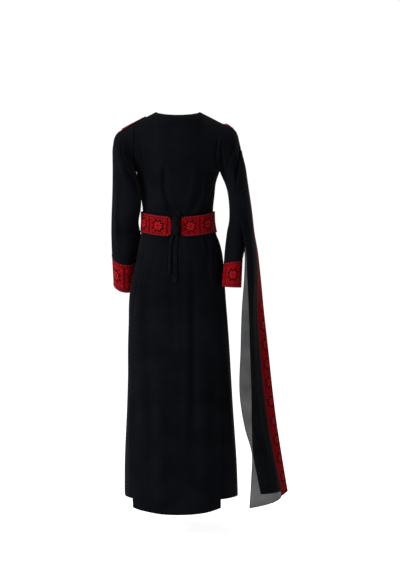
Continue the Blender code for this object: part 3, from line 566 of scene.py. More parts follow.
def creased_sleeve(form, table, side):
    """The sleeve with its creases, measured from the inner side round the back."""

    def point(angle, run):
        behind = np.where(side > 0, angle, 2 * math.pi - angle)
        relief = creases(behind, run, table, SLEEVE_DEGREE, SLEEVE_RUN, 360)
        relief = relief * smooth(0.0, 0.06, run) * (1 - smooth(0.97, 1.0, run))
        return moved_out(form, angle, run, relief)

    return point


left_form = sleeve_surface(LEFT_SLEEVE, -1)
right_form = sleeve_surface(RIGHT_SLEEVE, 1)
left_sleeve = creased_sleeve(left_form, LEFT_CREASES, -1)
right_sleeve = creased_sleeve(right_form, RIGHT_CREASES, 1)
left_cuff = sleeve_surface((LEFT_SLEEVE[-1], LEFT_CUFF_END), -1)
right_cuff = sleeve_surface((RIGHT_SLEEVE[-1], RIGHT_CUFF_END), 1)
veil = {name: curve(VEIL, name) for name in Fall._fields}


def veil_at(across, drop):
    """The veil in plan: straight out behind the arm, then round to its side."""
    turn = across * math.pi / 2
    x = veil["edge"](drop) + (veil["side"](drop) - veil["edge"](drop)) * np.sin(turn)
    y = veil["edge_y"](drop) + (veil["side_y"](drop) - veil["edge_y"](drop)) * (1 - np.cos(turn))
    return np.stack((x, y, -drop + 0 * x), axis=-1)


def veil_sheer(across, fall):
    """The sheer layer, its hem rising towards the border."""
    hem = VEIL_HEM_INNER + (VEIL_HEM_OUTER - VEIL_HEM_INNER) * across
    drop = VEIL_TOP + (hem - VEIL_TOP) * fall
    free = (1 - smooth(0.86, 1.0, across)) * smooth(0.35, 0.50, drop)
    relief = creases(across * math.pi / 2, drop, SHEER_CREASES, 0.0013)
    return moved_out(veil_at, across, drop, free * relief)


def veil_folded(across, fall):
    """The doubled layer, sewn to the sheer one at its top and at the border, and loose elsewhere."""
    drop = FOLDED_TOP + (FOLDED_HEM - FOLDED_TOP) * fall
    width = veil["side"](drop) - veil["edge"](drop)
    start = np.arcsin(np.clip((veil["folded_edge"](drop) - veil["edge"](drop)) / width, 0, 1))
    start = start * 2 / math.pi
    place = start + (FOLDED_REACH - start) * across
    sewn = CHIFFON + SEAM_GAP + SURFACE_EASE
    loose = smooth(FOLDED_TOP, FOLDED_TOP + FOLDED_PARTING, drop)
    loose = loose * (1 - smooth(FOLDED_REACH - FOLDED_JOIN, FOLDED_REACH, place))
    off = sewn + (FOLDED_STAND_OFF - sewn) * loose
    off = off + np.clip(creases(place * math.pi / 2, drop, FOLDED_CREASES, 0.0013), -0.002, 0.003)
    return moved_out(veil_at, place, drop, off)


def belt_surface(angle, rise):
    """Rise runs from -1 at the belt's lower edge to 1 at its upper one. The tie pulls it down behind."""
    dip = BELT_DIP * np.clip(np.cos(angle), 0, 1) ** 2
    drop = WAIST_DROP + dip - rise * BELT_HEIGHT / 2
    off = BACK_PANEL[0].stand_off + CLOTH / 2 + SEAM_GAP + TRIM / 2 + BELT_EASE
    return moved_out(body_point, angle, drop, off)


def belt_outward(angle, rise):
    """Normals of the belt, turned to point away from the middle line."""
    out = normals(belt_surface, angle, rise)
    away = belt_surface(angle, rise) * (1, 1, 0)
    return out * np.sign(np.sum(out * away, axis=-1, keepdims=True))


def shoulder_point(x, y):
    """The bodice beside the shoulder seam, at x and y, found by halving the height that it can be at."""
    low, high = np.full_like(y, 0.4), np.ones_like(y)
    depth = np.where(y < 0, body_back(ARMPIT_DROP), body_front(ARMPIT_DROP))
    for _ in range(HALVINGS):
        up = (low + high) / 2
        half = ARMPIT_X + (SHOULDER_TIP_X - ARMPIT_X) * up
        across = np.minimum(np.abs(x) / half, 1)
        out = (1 - across ** (2 / ROUNDNESS)) ** (ROUNDNESS / 2)
        armhole_y = ARMHOLE_DEPTH * 2 * np.sqrt(up / (1 + up))
        chest = depth * out + armhole_y * (1 - out) ** ARMHOLE_BLEND
        outside = np.sqrt(1 - up * up) * chest > np.abs(y)
        low = np.where(outside, up, low)
        high = np.where(outside, high, up)
    top_drop = neck_and_shoulder(x, BACK_NECK_DEPTH, BACK_NECK_DROP)[1]
    return np.stack((x + 0 * y, y, -(ARMPIT_DROP + (top_drop - ARMPIT_DROP) * up)), axis=-1)


def sleeve_top(sleeve, table, side, run, y):
    """The sleeve near its outer line, at y."""
    middle = curve(table, "middle", "run")(run)
    depth = curve(table, "depth", "run")(run)
    angle = math.pi - side * np.arcsin((middle - y) / depth)
    return sleeve(angle, np.full_like(angle, run))


def tail_surface(table, ripple):
    """A tie end on the back of the skirt, with a soft ripple down its length."""
    middle, width = curve(table, "x"), curve(table, "width")
    off = CLOTH / 2 + SEAM_GAP + CLOTH / 2 + SURFACE_EASE

    def point(across, drop):
        x = middle(drop) + across * width(drop) / 2
        side_width = np.where(x > 0, body_right(drop), body_left(drop))
        angle = np.sign(x) * edge_angle(np.abs(x), side_width)
        down = (drop - table[0].drop) / (table[-1].drop - table[0].drop)
        lift = 0.0012 * down * (1 + np.sin(9 * down + ripple + across)) + 0.0006 * (1 - across**2)
        return moved_out(skirt_base, angle, drop, panel_off(drop) + off + lift)

    return point


left_tail = tail_surface(LEFT_TAIL, 0.4)
right_tail = tail_surface(RIGHT_TAIL, 2.2)


def hanging_border(share, fall):
    """The border below the shoulder, by share of its width and from 0 at its start to 1 at its hem."""
    hem = BORDER_HEM_DROP - BORDER_HEM_RISE * share
    drop = BORDER_START_DROP + (hem - BORDER_START_DROP) * fall
    inner = veil_at(np.ones_like(drop), drop)
    sideways = (veil["reach"](drop) - inner[..., 0]) / BORDER_WIDTH
    forwards = np.sqrt(1 - sideways**2)
    along = SEAM_GAP + TRIM / 2 + (BORDER_WIDTH - TRIM) * share
    return np.stack((inner[..., 0] + sideways * along, inner[..., 1] + forwards * along, -drop), axis=-1)


def lengths(line):
    """How far each point of a line lies from its start, along the line."""
    return np.concatenate(((0,), np.cumsum(np.linalg.norm(np.diff(line, axis=0), axis=1))))


def ribbon_normals(points):
    down = np.gradient(points, axis=0)
    across = np.gradient(points, axis=1)
    normal = -np.cross(across, down)
    return normal / np.linalg.norm(normal, axis=-1, keepdims=True)


# Cross stitch colours and charts
GROUND = 0
PETAL = 1
STREAK = 2
SHADE = 3
MAROON = 4
BLACK = 5
PALE = 6
STITCH_COLOURS = np.array(
    (
        (0.175, 0.0014, 0.0034, 1),
        (0.250, 0.0024, 0.0046, 1),
        (0.290, 0.0070, 0.0100, 1),
        (0.115, 0.0012, 0.0024, 1),
        (0.036, 0.0008, 0.0016, 1),
        (0.002, 0.0010, 0.0012, 1),
        (0.250, 0.0110, 0.0150, 1),
    )
)
TILE = 32
STITCH = 0.00217


def star(across, down):
    """The eight-petalled star of a tile, by the stitches from its middle; -1 where it has none."""
    x, y = sorted((abs(across), abs(down)))
    if x <= 3 and x <= y <= x + 4:
        if x == y or x == 0:
            return SHADE if y else PETAL
        return STREAK if y > 3 else PETAL
    if x <= 3 and x + 5 <= y <= x + 7 or x in (4, 5) and 4 <= y <= 10:
        return BLACK
    return -1


def ground(across, down):
    """The filling round the stars: a divider, corner diamonds and a small diagonal speckle."""
    edge = TILE // 2 - abs(across)
    if edge <= 0:
        return BLACK if down % 4 < 2 else MAROON
    if edge == 1:
        return MAROON if down % 4 < 2 else SHADE
    if edge == 3 and abs(down) % 3 == 0:
        return SHADE
    corner = abs(edge - 4) + abs(abs(down) - 12)
    if corner == 4:
        return MAROON
    if corner == 2:
        return STREAK
    if (across + 3 * down) % 7 == 0 and abs(across) + abs(down) > 14:
        return SHADE
    return GROUND


def banded(row, rows, column):
    """The edge rows of a band, from its outer edge in; -1 in the field."""
    inward = min(row, rows - 1 - row)
    if inward == 0:
        return BLACK if column % 3 else MAROON
    if inward in (1, 2):
        return PALE if (column + row) % 4 < 2 else MAROON
    if inward == 3:
        return SHADE
    if inward == 4:
        return MAROON if column % 2 else SHADE
    return -1


def star_chart(rows, columns, middle):
    """A band of stars between two edges; middle is the column of the first star's middle."""
    chart = np.zeros((rows, columns), int)
    for row in range(rows):
        for column in range(columns):
            across = (column - middle + TILE // 2) % TILE - TILE // 2
            down = row - rows // 2
            found = banded(row, rows, column)
            if found < 0:
                found = star(across, down)
            if found < 0:
                found = ground(across, down)
            chart[row, column] = found
    return chart


def border_chart(rows, columns):
    """The veil's border: slanting dashes along its inner edge, and stars cut by its outer edge."""
    chart = np.zeros((rows, columns), int)
    for row in range(rows):
        for column in range(columns):
            down = (row + TILE // 2) % TILE - TILE // 2
            if column == 0 or column == columns - 1:
                found = MAROON
            elif column <= 4:
                found = PALE if (row + column) % 4 == 0 else MAROON if (row + column) % 4 == 2 else SHADE
            elif column == 5:
                found = MAROON
            else:
                found = star(column - columns + 3, down)
                if found < 0:
                    found = MAROON if abs(down) == TILE // 2 else GROUND
                    if (column + 2 * row) % 7 == 0:
                        found = SHADE
            chart[row, column] = found
    return chart


# Mesh making
def cloth_wall(name, points, outward, outer, shell, material, closed=False, size=(1, 1), chart=None):
    """A thin cloth shell: a grid of middle points, its seam welded if closed, then extruded inwards."""
    rows, columns = points.shape[:2]
    bm = bmesh.new()
    spot = bm.verts.layers.int.new("spot")
    grid = bmesh.ops.create_grid(bm, x_segments=columns - 1, y_segments=rows - 1, size=1)
    for index, vert in enumerate(grid["verts"]):
        row, column = divmod(index, columns)
        vert[spot] = row * columns + (0 if closed and column == columns - 1 else column)
        vert.co = points[row, column]
    if closed:
        bmesh.ops.remove_doubles(bm, verts=bm.verts[:], dist=1e-6)
    outside = (points + outward * np.broadcast_to(outer, (rows, columns))[..., None]).reshape(-1, 3)
    depth = np.asarray(outer) - np.asarray(shell)
    inside = (points + outward * np.broadcast_to(depth, (rows, columns))[..., None]).reshape(-1, 3)
    made = bmesh.ops.extrude_face_region(bm, geom=bm.faces[:], use_keep_orig=True)
    inner = {item for item in made["geom"] if isinstance(item, bmesh.types.BMVert)}
    for vert in bm.verts:
        vert.co = (inside if vert in inner else outside)[vert[spot]]
    bmesh.ops.recalc_face_normals(bm, faces=bm.faces[:])
    mesh = bpy.data.meshes.new(name)
    bm.to_mesh(mesh)
    bm.free()
    lay_pattern(mesh, rows, columns, closed, size, chart)
    return finish_piece(name, mesh, material)


def lay_pattern(mesh, rows, columns, closed, size, chart):
    """The UV map counts metres or stitches, and a chart gives each square of cloth its thread."""
    spots = np.zeros(len(mesh.vertices), np.int32)
    mesh.attributes["spot"].data.foreach_get("value", spots)
    corners = np.zeros(len(mesh.loops), np.int32)
    mesh.loops.foreach_get("vertex_index", corners)
    starts = np.zeros(len(mesh.polygons), np.int32)
    mesh.polygons.foreach_get("loop_start", starts)
    counts = np.zeros(len(mesh.polygons), np.int32)
    mesh.polygons.foreach_get("loop_total", counts)
    row, column = np.divmod(spots[corners], columns)
    face = np.repeat(np.arange(len(starts)), counts)
    most = np.maximum.reduceat(column, starts)[face]
    column = np.where(closed & (column == 0) & (most == columns - 2), columns - 1, column)
    place = np.stack((column / (columns - 1) * size[0], row / (rows - 1) * size[1]), axis=-1)
    uv = mesh.uv_layers.new(name="cut")
    uv.data.foreach_set("uv", place.astype(np.float32).reshape(-1))
    if chart is not None:
        first_row = np.minimum.reduceat(row, starts)[face]
        first_column = np.minimum.reduceat(column, starts)[face]
        cell = chart[np.clip(first_row, 0, rows - 2), np.clip(first_column, 0, columns - 2)]
        colours = STITCH_COLOURS[cell].astype(np.float32)
        layer = mesh.color_attributes.new(name="stitch", type="FLOAT_COLOR", domain="CORNER")
        layer.data.foreach_set("color", colours.reshape(-1))
    mesh.attributes.remove(mesh.attributes["spot"])


def finish_piece(name, mesh, material):
    piece = bpy.data.objects.new(name, mesh)
    bpy.context.scene.collection.objects.link(piece)
    mesh.materials.append(material)
    mesh.shade_smooth()
    mesh.set_sharp_from_angle(angle=math.radians(60))
    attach(piece, "root")
    return piece


def panel(name, surface, across, down, outer, shell, material, **more):
    u, v = np.meshgrid(across, down)
    return cloth_wall(name, surface(u, v), -normals(surface, u, v), outer, shell, material, **more)


def threads(name, lines, radius, material, sides=1, closed=False):
    """Round threads or rolled edges along lines of points, as one mesh."""
    data = bpy.data.curves.new(name, "CURVE")
    data.dimensions = "3D"
    data.bevel_depth = radius
    data.bevel_resolution = sides
    data.use_fill_caps = True
    for line in lines:
        spline = data.splines.new("POLY")
        spline.points.add(len(line) - 1)
        flat = np.concatenate((line, np.ones((len(line), 1))), axis=1)
        spline.points.foreach_set("co", flat.reshape(-1))
        spline.use_cyclic_u = closed
    helper = bpy.data.objects.new(name + "_line", data)
    bpy.context.scene.collection.objects.link(helper)
    graph = bpy.context.evaluated_depsgraph_get()
    mesh = bpy.data.meshes.new_from_object(helper.evaluated_get(graph))
    mesh.name = name
    mesh.materials.clear()
    bpy.data.objects.remove(helper)
    bpy.data.curves.remove(data)
    return finish_piece(name, mesh, material)


def running_stitches(line, outward, length, gap, lift):
    """Short threads along a line on the cloth, each sunk at both ends."""
    reach = lengths(line)
    stitches = []
    for start in np.arange(gap, reach[-1] - length, length + gap):
        at = start + length * np.array((0, 0.25, 0.75, 1))
        place = np.stack([np.interp(at, reach, line[:, i]) for i in range(3)], axis=-1)
        out = np.stack([np.interp(at, reach, outward[:, i]) for i in range(3)], axis=-1)
        stitches.append(place + out * (lift * np.array((-1.2, 0.6, 0.6, -1.2)))[:, None])
    return stitches


def seam(surface, us, vs, outer, length=0.0028, gap=0.0016, lift=0.0003):
    """Stitches along a line of a surface's own coordinates."""
    us, vs = np.broadcast_arrays(us, vs)
    outward = -normals(surface, us, vs)
    return running_stitches(surface(us, vs) + outward * outer, outward, length, gap, lift)


# Materials
def add_node(tree, kind, inputs=None, **settings):
    node = tree.nodes.new(kind)
    for key, value in settings.items():
        setattr(node, key, value)
    for key, value in (inputs or {}).items():
        if isinstance(value, bpy.types.NodeSocket):
            tree.links.new(value, node.inputs[key])
        else:
            node.inputs[key].default_value = value
    return node


def maths(tree, operation, *values, clamp=False):
    inputs = dict(enumerate(values))
    return add_node(tree, "ShaderNodeMath", inputs, operation=operation, use_clamp=clamp).outputs[0]


def new_group(name, takes, gives):
    """A node group with float inputs and their defaults, and outputs by name and type."""
    tree = bpy.data.node_groups.new(name, "ShaderNodeTree")
    for label, value in takes.items():
        socket = tree.interface.new_socket(label, in_out="INPUT", socket_type="NodeSocketFloat")
        socket.default_value = value
    for label, kind in gives.items():
        tree.interface.new_socket(label, in_out="OUTPUT", socket_type=kind)
    return tree, tree.nodes.new("NodeGroupInput"), tree.nodes.new("NodeGroupOutput")


def build_grain_group():
    """Pebbled cloth grain and slow changes of tone, in metres on the object's own coordinates."""
    tree, given, result = new_group(
        "cloth_grain",
        {"Fine Scale": 1500, "Slow Scale": 9, "Fuzz": 0.5},
        {"Height": "NodeSocketFloat", "Tone": "NodeSocketFloat"},
    )
    place = add_node(tree, "ShaderNodeTexCoord").outputs["Object"]
    fine = add_node(
        tree, "ShaderNodeTexNoise", {"Vector": place, "Scale": given.outputs["Fine Scale"], "Detail": 2}
    )
    coarse_scale = maths(tree, "MULTIPLY", given.outputs["Fine Scale"], 0.35)
    coarse = add_node(tree, "ShaderNodeTexVoronoi", {"Vector": place, "Scale": coarse_scale})
    slow = add_node(
        tree, "ShaderNodeTexNoise", {"Vector": place, "Scale": given.outputs["Slow Scale"], "Detail": 4}
    )
    pebble = maths(tree, "MULTIPLY", coarse.outputs["Distance"], 0.6)
    height = maths(tree, "ADD", fine.outputs["Fac"], pebble)
    fuzz = maths(tree, "MULTIPLY", fine.outputs["Fac"], given.outputs["Fuzz"])
    tone = maths(tree, "ADD", slow.outputs["Fac"], fuzz)
    tree.links.new(height, result.inputs["Height"])
    tree.links.new(tone, result.inputs["Tone"])
    return tree


def build_weave_group():
    """Crossing threads on the cut's own map, given in threads a metre."""
    tree, given, result = new_group(
        "crossing_threads",
        {"Across": 1400, "Down": 1400},
        {"Height": "NodeSocketFloat", "Open": "NodeSocketFloat"},
    )
    cut = add_node(tree, "ShaderNodeUVMap", uv_map="cut").outputs["UV"]
    apart = add_node(tree, "ShaderNodeSeparateXYZ", {"Vector": cut})
    ridges = []
    for axis, label in (("X", "Across"), ("Y", "Down")):
        turn = maths(tree, "MULTIPLY", apart.outputs[axis], given.outputs[label])
        turn = maths(tree, "MULTIPLY", turn, 2 * math.pi)
        wave = maths(tree, "SINE", turn)
        ridges.append(maths(tree, "MULTIPLY_ADD", wave, 0.5, 0.5))
    height = maths(tree, "MAXIMUM", ridges[0], ridges[1])
    hole = maths(tree, "MULTIPLY", maths(tree, "SUBTRACT", 1, ridges[0]), maths(tree, "SUBTRACT", 1, ridges[1]))
    tree.links.new(height, result.inputs["Height"])
    tree.links.new(hole, result.inputs["Open"])
    return tree


grain_group = build_grain_group()
weave_group = build_weave_group()


def new_material(name, roughness, sheen, alpha=1.0):
    material = bpy.data.materials.new(name)
    material.use_nodes = True
    tree = material.node_tree
    shader = tree.nodes["Principled BSDF"]
    shader.inputs["Roughness"].default_value = roughness
    shader.inputs["Metallic"].default_value = 0
    shader.inputs["Specular IOR Level"].default_value = 0.012
    shader.inputs["Sheen Weight"].default_value = sheen
    shader.inputs["Sheen Roughness"].default_value = 0.45
    shader.inputs["Alpha"].default_value = alpha
    return material, tree, shader


def grain(tree, fine, slow, fuzz):
    node = add_node(tree, "ShaderNodeGroup", node_tree=grain_group)
    node.inputs["Fine Scale"].default_value = fine
    node.inputs["Slow Scale"].default_value = slow
    node.inputs["Fuzz"].default_value = fuzz
    return node


def bump(tree, shader, height, strength, distance):
    node = add_node(tree, "ShaderNodeBump", {"Height": height, "Strength": strength, "Distance": distance})
    tree.links.new(node.outputs["Normal"], shader.inputs["Normal"])


def tinted(tree, shader, factor, dark, light):
    mixed = add_node(tree, "ShaderNodeMix", data_type="RGBA")
    tree.links.new(factor, mixed.inputs["Factor"])
    mixed.inputs["A"].default_value = (*dark, 1)
    mixed.inputs["B"].default_value = (*light, 1)
    tree.links.new(mixed.outputs["Result"], shader.inputs["Base Color"])


def crepe_material(name, fine, dark, light, sheen):
    material, tree, shader = new_material(name, 0.82, sheen)
    cloth = grain(tree, fine, 11, 0.45)
    factor = maths(tree, "MULTIPLY_ADD", cloth.outputs["Tone"], 1.3, -0.45, clamp=True)
    tinted(tree, shader, factor, dark, light)
    bump(tree, shader, cloth.outputs["Height"], 0.35, 0.0004)
    return material


def tape_material():
    material, tree, shader = new_material("soft_black_tape", 0.62, 0.01)
    cloth = grain(tree, 900, 60, 0.8)
    factor = maths(tree, "MULTIPLY_ADD", cloth.outputs["Tone"], 1.2, -0.5, clamp=True)
    tinted(tree, shader, factor, (0.0008, 0.0008, 0.0012), (0.0034, 0.0036, 0.0046))
    bump(tree, shader, cloth.outputs["Height"], 0.5, 0.0005)
    return material


def chiffon_material(name, cover, dark, light):
    material, tree, shader = new_material(name, 0.7, 0.01)
    cloth = grain(tree, 1700, 16, 0.6)
    weave = add_node(tree, "ShaderNodeGroup", node_tree=weave_group)
    factor = maths(tree, "MULTIPLY_ADD", cloth.outputs["Tone"], 1.3, -0.5, clamp=True)
    tinted(tree, shader, factor, dark, light)
    bump(tree, shader, weave.outputs["Height"], 0.25, 0.0002)
    slow = maths(tree, "MULTIPLY_ADD", cloth.outputs["Tone"], 0.16, cover - 0.09)
    holes = maths(tree, "MULTIPLY_ADD", weave.outputs["Open"], -0.10, slow, clamp=True)
    tree.links.new(holes, shader.inputs["Alpha"])
    return material


def embroidery_material():
    """Each square of the map is one cross stitch: two crossing threads over a dark ground cloth."""
    material, tree, shader = new_material("red_cross_stitch", 0.58, 0.01)
    thread = add_node(tree, "ShaderNodeVertexColor", layer_name="stitch")
    cut = add_node(tree, "ShaderNodeUVMap", uv_map="cut").outputs["UV"]
    square = add_node(tree, "ShaderNodeVectorMath", {0: cut}, operation="FRACTION").outputs[0]
    apart = add_node(tree, "ShaderNodeSeparateXYZ", {"Vector": square})
    across, down = apart.outputs["X"], apart.outputs["Y"]
    rising = maths(tree, "ABSOLUTE", maths(tree, "SUBTRACT", across, down))
    summed = maths(tree, "ADD", across, down)
    falling = maths(tree, "ABSOLUTE", maths(tree, "SUBTRACT", summed, 1))
    nearest = maths(tree, "MINIMUM", rising, falling)
    covered = maths(tree, "SUBTRACT", 1, maths(tree, "MULTIPLY", nearest, 1.6), clamp=True)
    cell = add_node(tree, "ShaderNodeVectorMath", {0: cut}, operation="FLOOR").outputs[0]
    chance = add_node(tree, "ShaderNodeTexWhiteNoise", {"Vector": cell}, noise_dimensions="2D")
    light = maths(tree, "MULTIPLY_ADD", chance.outputs["Value"], 0.30, 0.78)
    shade = maths(tree, "MULTIPLY", light, maths(tree, "MULTIPLY_ADD", covered, 0.42, 0.58))
    coloured = add_node(tree, "ShaderNodeVectorMath", operation="SCALE")
    tree.links.new(thread.outputs["Color"], coloured.inputs[0])
    tree.links.new(shade, coloured.inputs["Scale"])
    tree.links.new(coloured.outputs[0], shader.inputs["Base Color"])
    cloth = grain(tree, 2600, 12, 0.5)
    height = maths(tree, "MULTIPLY_ADD", cloth.outputs["Height"], 0.25, covered)
    bump(tree, shader, height, 0.7, 0.0006)
    return material


crepe = crepe_material("pebbled_black_crepe", 1500, (0.0007, 0.0008, 0.0013), (0.0030, 0.0033, 0.0048), 0.016)
sewing_thread = crepe_material("black_sewing_thread", 2400, (0.002, 0.002, 0.003), (0.006, 0.006, 0.008), 0.004)
tape = tape_material()
sheer = chiffon_material("sheer_black_chiffon", 0.73, (0.004, 0.0042, 0.0046), (0.009, 0.0094, 0.0102))
doubled = chiffon_material("doubled_black_chiffon", 0.97, (0.0012, 0.0014, 0.0020), (0.0034, 0.0038, 0.0050))
rolled = crepe_material("rolled_black_edge", 1900, (0.0008, 0.0008, 0.0012), (0.0024, 0.0026, 0.0034), 0.004)
embroidery = embroidery_material()
red_thread = crepe_material("red_edge_thread", 2200, (0.10, 0.0014, 0.003), (0.22, 0.003, 0.006), 0.004)


def hemmed(shape, distance, width):
    """The cloth is doubled within a hem's width of an edge, given each point's distance from it."""
    return CREPE_SHELL + 0.0005 * (1 - smooth(width - 0.0015, width + 0.0015, distance)) * np.ones(shape)


# Bodice
HEM_WIDTH = 0.020
NECK_HEM = 0.010


def make_bodice():
    gap = SEAM_GAP / 2 / body_back(WAIST_DROP)
    edge = math.pi / 2 - gap
    neck_angle = edge_angle(NECK_HALF_WIDTH, SHOULDER_TIP_X)
    half = np.concatenate((steps(0, neck_angle, 34), steps(neck_angle, edge, 30)[1:]))
    columns = np.concatenate((-half[:0:-1], half))
    rows = np.concatenate((steps(0, LOWER_SHARE, 44), steps(LOWER_SHARE, 0.998, 66)[1:]))[::-1]
    inside_neck = half[half <= neck_angle]
    neck_line = np.concatenate((-inside_neck[:0:-1], inside_neck))
    for name, surface in (("bodice_back", bodice_back), ("bodice_front", bodice_front)):
        piece = panel(name + "_cloth", surface, columns, rows, CLOTH / 2, CREPE_SHELL, crepe)
        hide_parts(name)
        neck = seam(surface, neck_line, 0.975, CLOTH / 2)
        left = seam(surface, -edge * 0.975, steps(LOWER_SHARE + 0.02, 0.97, 80), CLOTH / 2)
        right = seam(surface, edge * 0.975, steps(LOWER_SHARE + 0.02, 0.97, 80), CLOTH / 2)
        sewn = threads(name + "_stitches", neck + left + right, 0.00028, sewing_thread)


# Skirt
def make_skirt():
    down = np.concatenate((steps(0, 0.12, 40), steps(0.12, 1, 170)[1:]))
    across = steps(-1, 1, 100)
    hem_drop = (BACK_HEM_DROP - WAIST_DROP) * (1 - down)
    shell = hemmed((len(down), len(across)), hem_drop[:, None], HEM_WIDTH)
    back = panel("skirt_back_cloth", skirt_back, across, down, CLOTH / 2, shell, crepe)
    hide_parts("skirt_back")
    hem_line = 1 - HEM_WIDTH / (BACK_HEM_DROP - WAIST_DROP)
    lines = seam(skirt_back, steps(-0.98, 0.98, 240), hem_line, CLOTH / 2, length=0.0034, gap=0.0026)
    lines += seam(skirt_back, -0.962, steps(0.05, 0.985, 400), CLOTH / 2, length=0.0034, gap=0.0026)
    lines += seam(skirt_back, 0.962, steps(0.05, 0.985, 400), CLOTH / 2, length=0.0034, gap=0.0026)
    sewn = threads("skirt_back_stitches", lines, 0.00028, sewing_thread)

    around = steps(0, 1, 190)
    hem_drop = (FRONT_HEM_DROP - WAIST_DROP) * (1 - down)
    shell = hemmed((len(down), len(around)), hem_drop[:, None], HEM_WIDTH)
    front = panel("skirt_front_cloth", skirt_front, around, down, CLOTH / 2, shell, crepe)
    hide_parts("skirt_front")
    hem_line = 1 - HEM_WIDTH / (FRONT_HEM_DROP - WAIST_DROP)
    lines = seam(skirt_front, steps(0.01, 0.99, 500), hem_line, CLOTH / 2, length=0.0034, gap=0.0026)
    sewn = threads("skirt_front_stitches", lines, 0.00028, sewing_thread)


# Sleeves and cuffs
CUFF_ROWS = 44
CUFF_COLUMNS = 4 * TILE
LEFT_STAR = 16
RIGHT_STAR = 32
ARMHOLE_SEAM = 0.0013


def make_sleeve(side, sleeve, cuff, star_column):
    around = steps(0, 2 * math.pi, 104)
    down = steps(0, 1, 150)
    piece = panel(
        "sleeve_" + side + "_cloth", sleeve, around, down, CLOTH / 2, CREPE_SHELL, crepe, closed=True
    )
    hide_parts("sleeve_" + side)
    top = seam(sleeve, steps(0.02, 2 * math.pi - 0.02, 300), 0.012, CLOTH / 2)
    sewn = threads("sleeve_" + side + "_stitches", top, 0.00028, sewing_thread)
    turn = steps(0, 2 * math.pi, 120)[:-1]
    armhole = sleeve(turn, np.zeros_like(turn))
    armhole[:, 0] *= 1 - ARMHOLE_SEAM / ARMPIT_X
    joined = threads("armhole_" + side + "_seam", [armhole], ARMHOLE_SEAM, crepe, closed=True)

    chart = star_chart(CUFF_ROWS, CUFF_COLUMNS, star_column)
    fine = steps(0, 2 * math.pi, 720)
    reach = lengths(cuff(fine, np.full_like(fine, (CUFF_START + 2) / 2)))
    turns = np.interp(steps(0, reach[-1], CUFF_COLUMNS), reach, fine)
    rows = steps(CUFF_START, 2, CUFF_ROWS)
    u, v = np.meshgrid(turns, rows)
    band = cloth_wall(
        "cuff_" + side + "_band",
        cuff(u, v),
        -normals(cuff, u, v),
        TRIM / 2,
        0.0016,
        embroidery,
        closed=True,
        size=(CUFF_COLUMNS, CUFF_ROWS),
        chart=chart,
    )
    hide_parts("cuff_" + side)
    edges = []
    for run in (CUFF_START + 0.004, 1.996):
        turn = steps(0, 2 * math.pi, 120)[:-1]
        at = np.full_like(turn, run)
        edges.append(cuff(turn, at) - normals(cuff, turn, at) * (TRIM / 2))
    cord = threads("cuff_" + side + "_edges", edges, 0.0009, rolled, closed=True)


# Belt and its tie
BELT_ROWS = 34


def make_belt():
    """The band is open at the back, where its two rounded ends are tied together."""
    start = edge_angle(BELT_END_RIGHT, body_right(WAIST_DROP))
    end = 2 * math.pi - edge_angle(-BELT_END_LEFT, body_left(WAIST_DROP))
    lead = BELT_END_ROUNDING / body_right(WAIST_DROP)
    fine = steps(start, end, 1200)
    reach = lengths(belt_surface(fine, np.zeros_like(fine)))
    columns = round(reach[-1] / STITCH)
    turns = np.interp(steps(0, reach[-1], columns), reach, fine)
    inset = np.clip(1 - np.minimum(turns - start, end - turns) / lead, 0, 1)
    height = 1 - BELT_END_NARROWING * (1 - np.sqrt(1 - inset**2))
    rise = steps(1, -1, BELT_ROWS)[:, None] * height[None, :]
    angle = np.broadcast_to(turns, rise.shape)
    points = belt_surface(angle, rise)
    outward = belt_outward(angle, rise)
    puckered = 0.0005 * np.sin(angle * 46) * np.sin(rise * 3) + 0.0004 * np.sin(angle * 19 + rise)
    points = points + outward * puckered[..., None]
    chart = star_chart(BELT_ROWS, columns, TILE // 2)
    band = cloth_wall(
        "belt_band_cloth",
        points,
        outward,
        TRIM / 2,
        0.0016,
        embroidery,
        size=(columns, BELT_ROWS),
        chart=chart,
    )
    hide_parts("belt_band")
    outside = points + outward * (TRIM / 2 - 0.0005)
    rim = np.concatenate((outside[0], outside[:, -1], outside[-1, ::-1], outside[::-1, 0]))
    piping = threads("belt_piping", [rim[::2]], 0.0010, rolled, closed=True)


def make_tails():
    for side, surface, table in (("left", left_tail, LEFT_TAIL), ("right", right_tail, RIGHT_TAIL)):
        down = steps(table[0].drop, table[-1].drop, 60)
        across = steps(-1, 1, 10)
        piece = panel("tie_tail_" + side + "_tape", surface, across, down, CLOTH / 2, 0.0009, tape)
        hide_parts("tie_tail_" + side)
        edges = []
        for edge in (-0.94, 0.94):
            at = np.full_like(down, edge)
            edges.append(surface(at, down) - normals(surface, at, down) * (CLOTH / 2))
        piping = threads("tie_tail_" + side + "_edges", edges, 0.0004, rolled)


def make_knot():
    """Tape wound on itself: a long bulge with slanting grooves and one tight turn across it."""
    bm = bmesh.new()
    bmesh.ops.create_uvsphere(bm, u_segments=64, v_segments=48, radius=1)
    for vert in bm.verts:
        x, y, z = vert.co
        turn = math.atan2(x, -y)
        winding = 0.10 * math.cos(3 * turn + 5.5 * z) + 0.05 * math.cos(7 * turn - 9 * z)
        tight = -0.20 * math.exp(-(((z + 0.1 - 0.25 * x) / 0.16) ** 2))
        band = 0.16 * math.exp(-(((z + 0.1 - 0.25 * x) / 0.10) ** 2)) if y < 0 else 0
        size = 0.93 + (winding + tight + band) * math.sqrt(max(1 - z * z, 0))
        vert.co = (x * size, y * size, z)
    bmesh.ops.scale(bm, vec=KNOT_SIZE, verts=bm.verts[:])
    bmesh.ops.translate(bm, vec=KNOT_PLACE, verts=bm.verts[:])
    mesh = bpy.data.meshes.new("tie_knot_tape")
    bm.to_mesh(mesh)
    bm.free()
    knot = finish_piece("tie_knot_tape", mesh, tape)
    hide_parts("tie_knot")


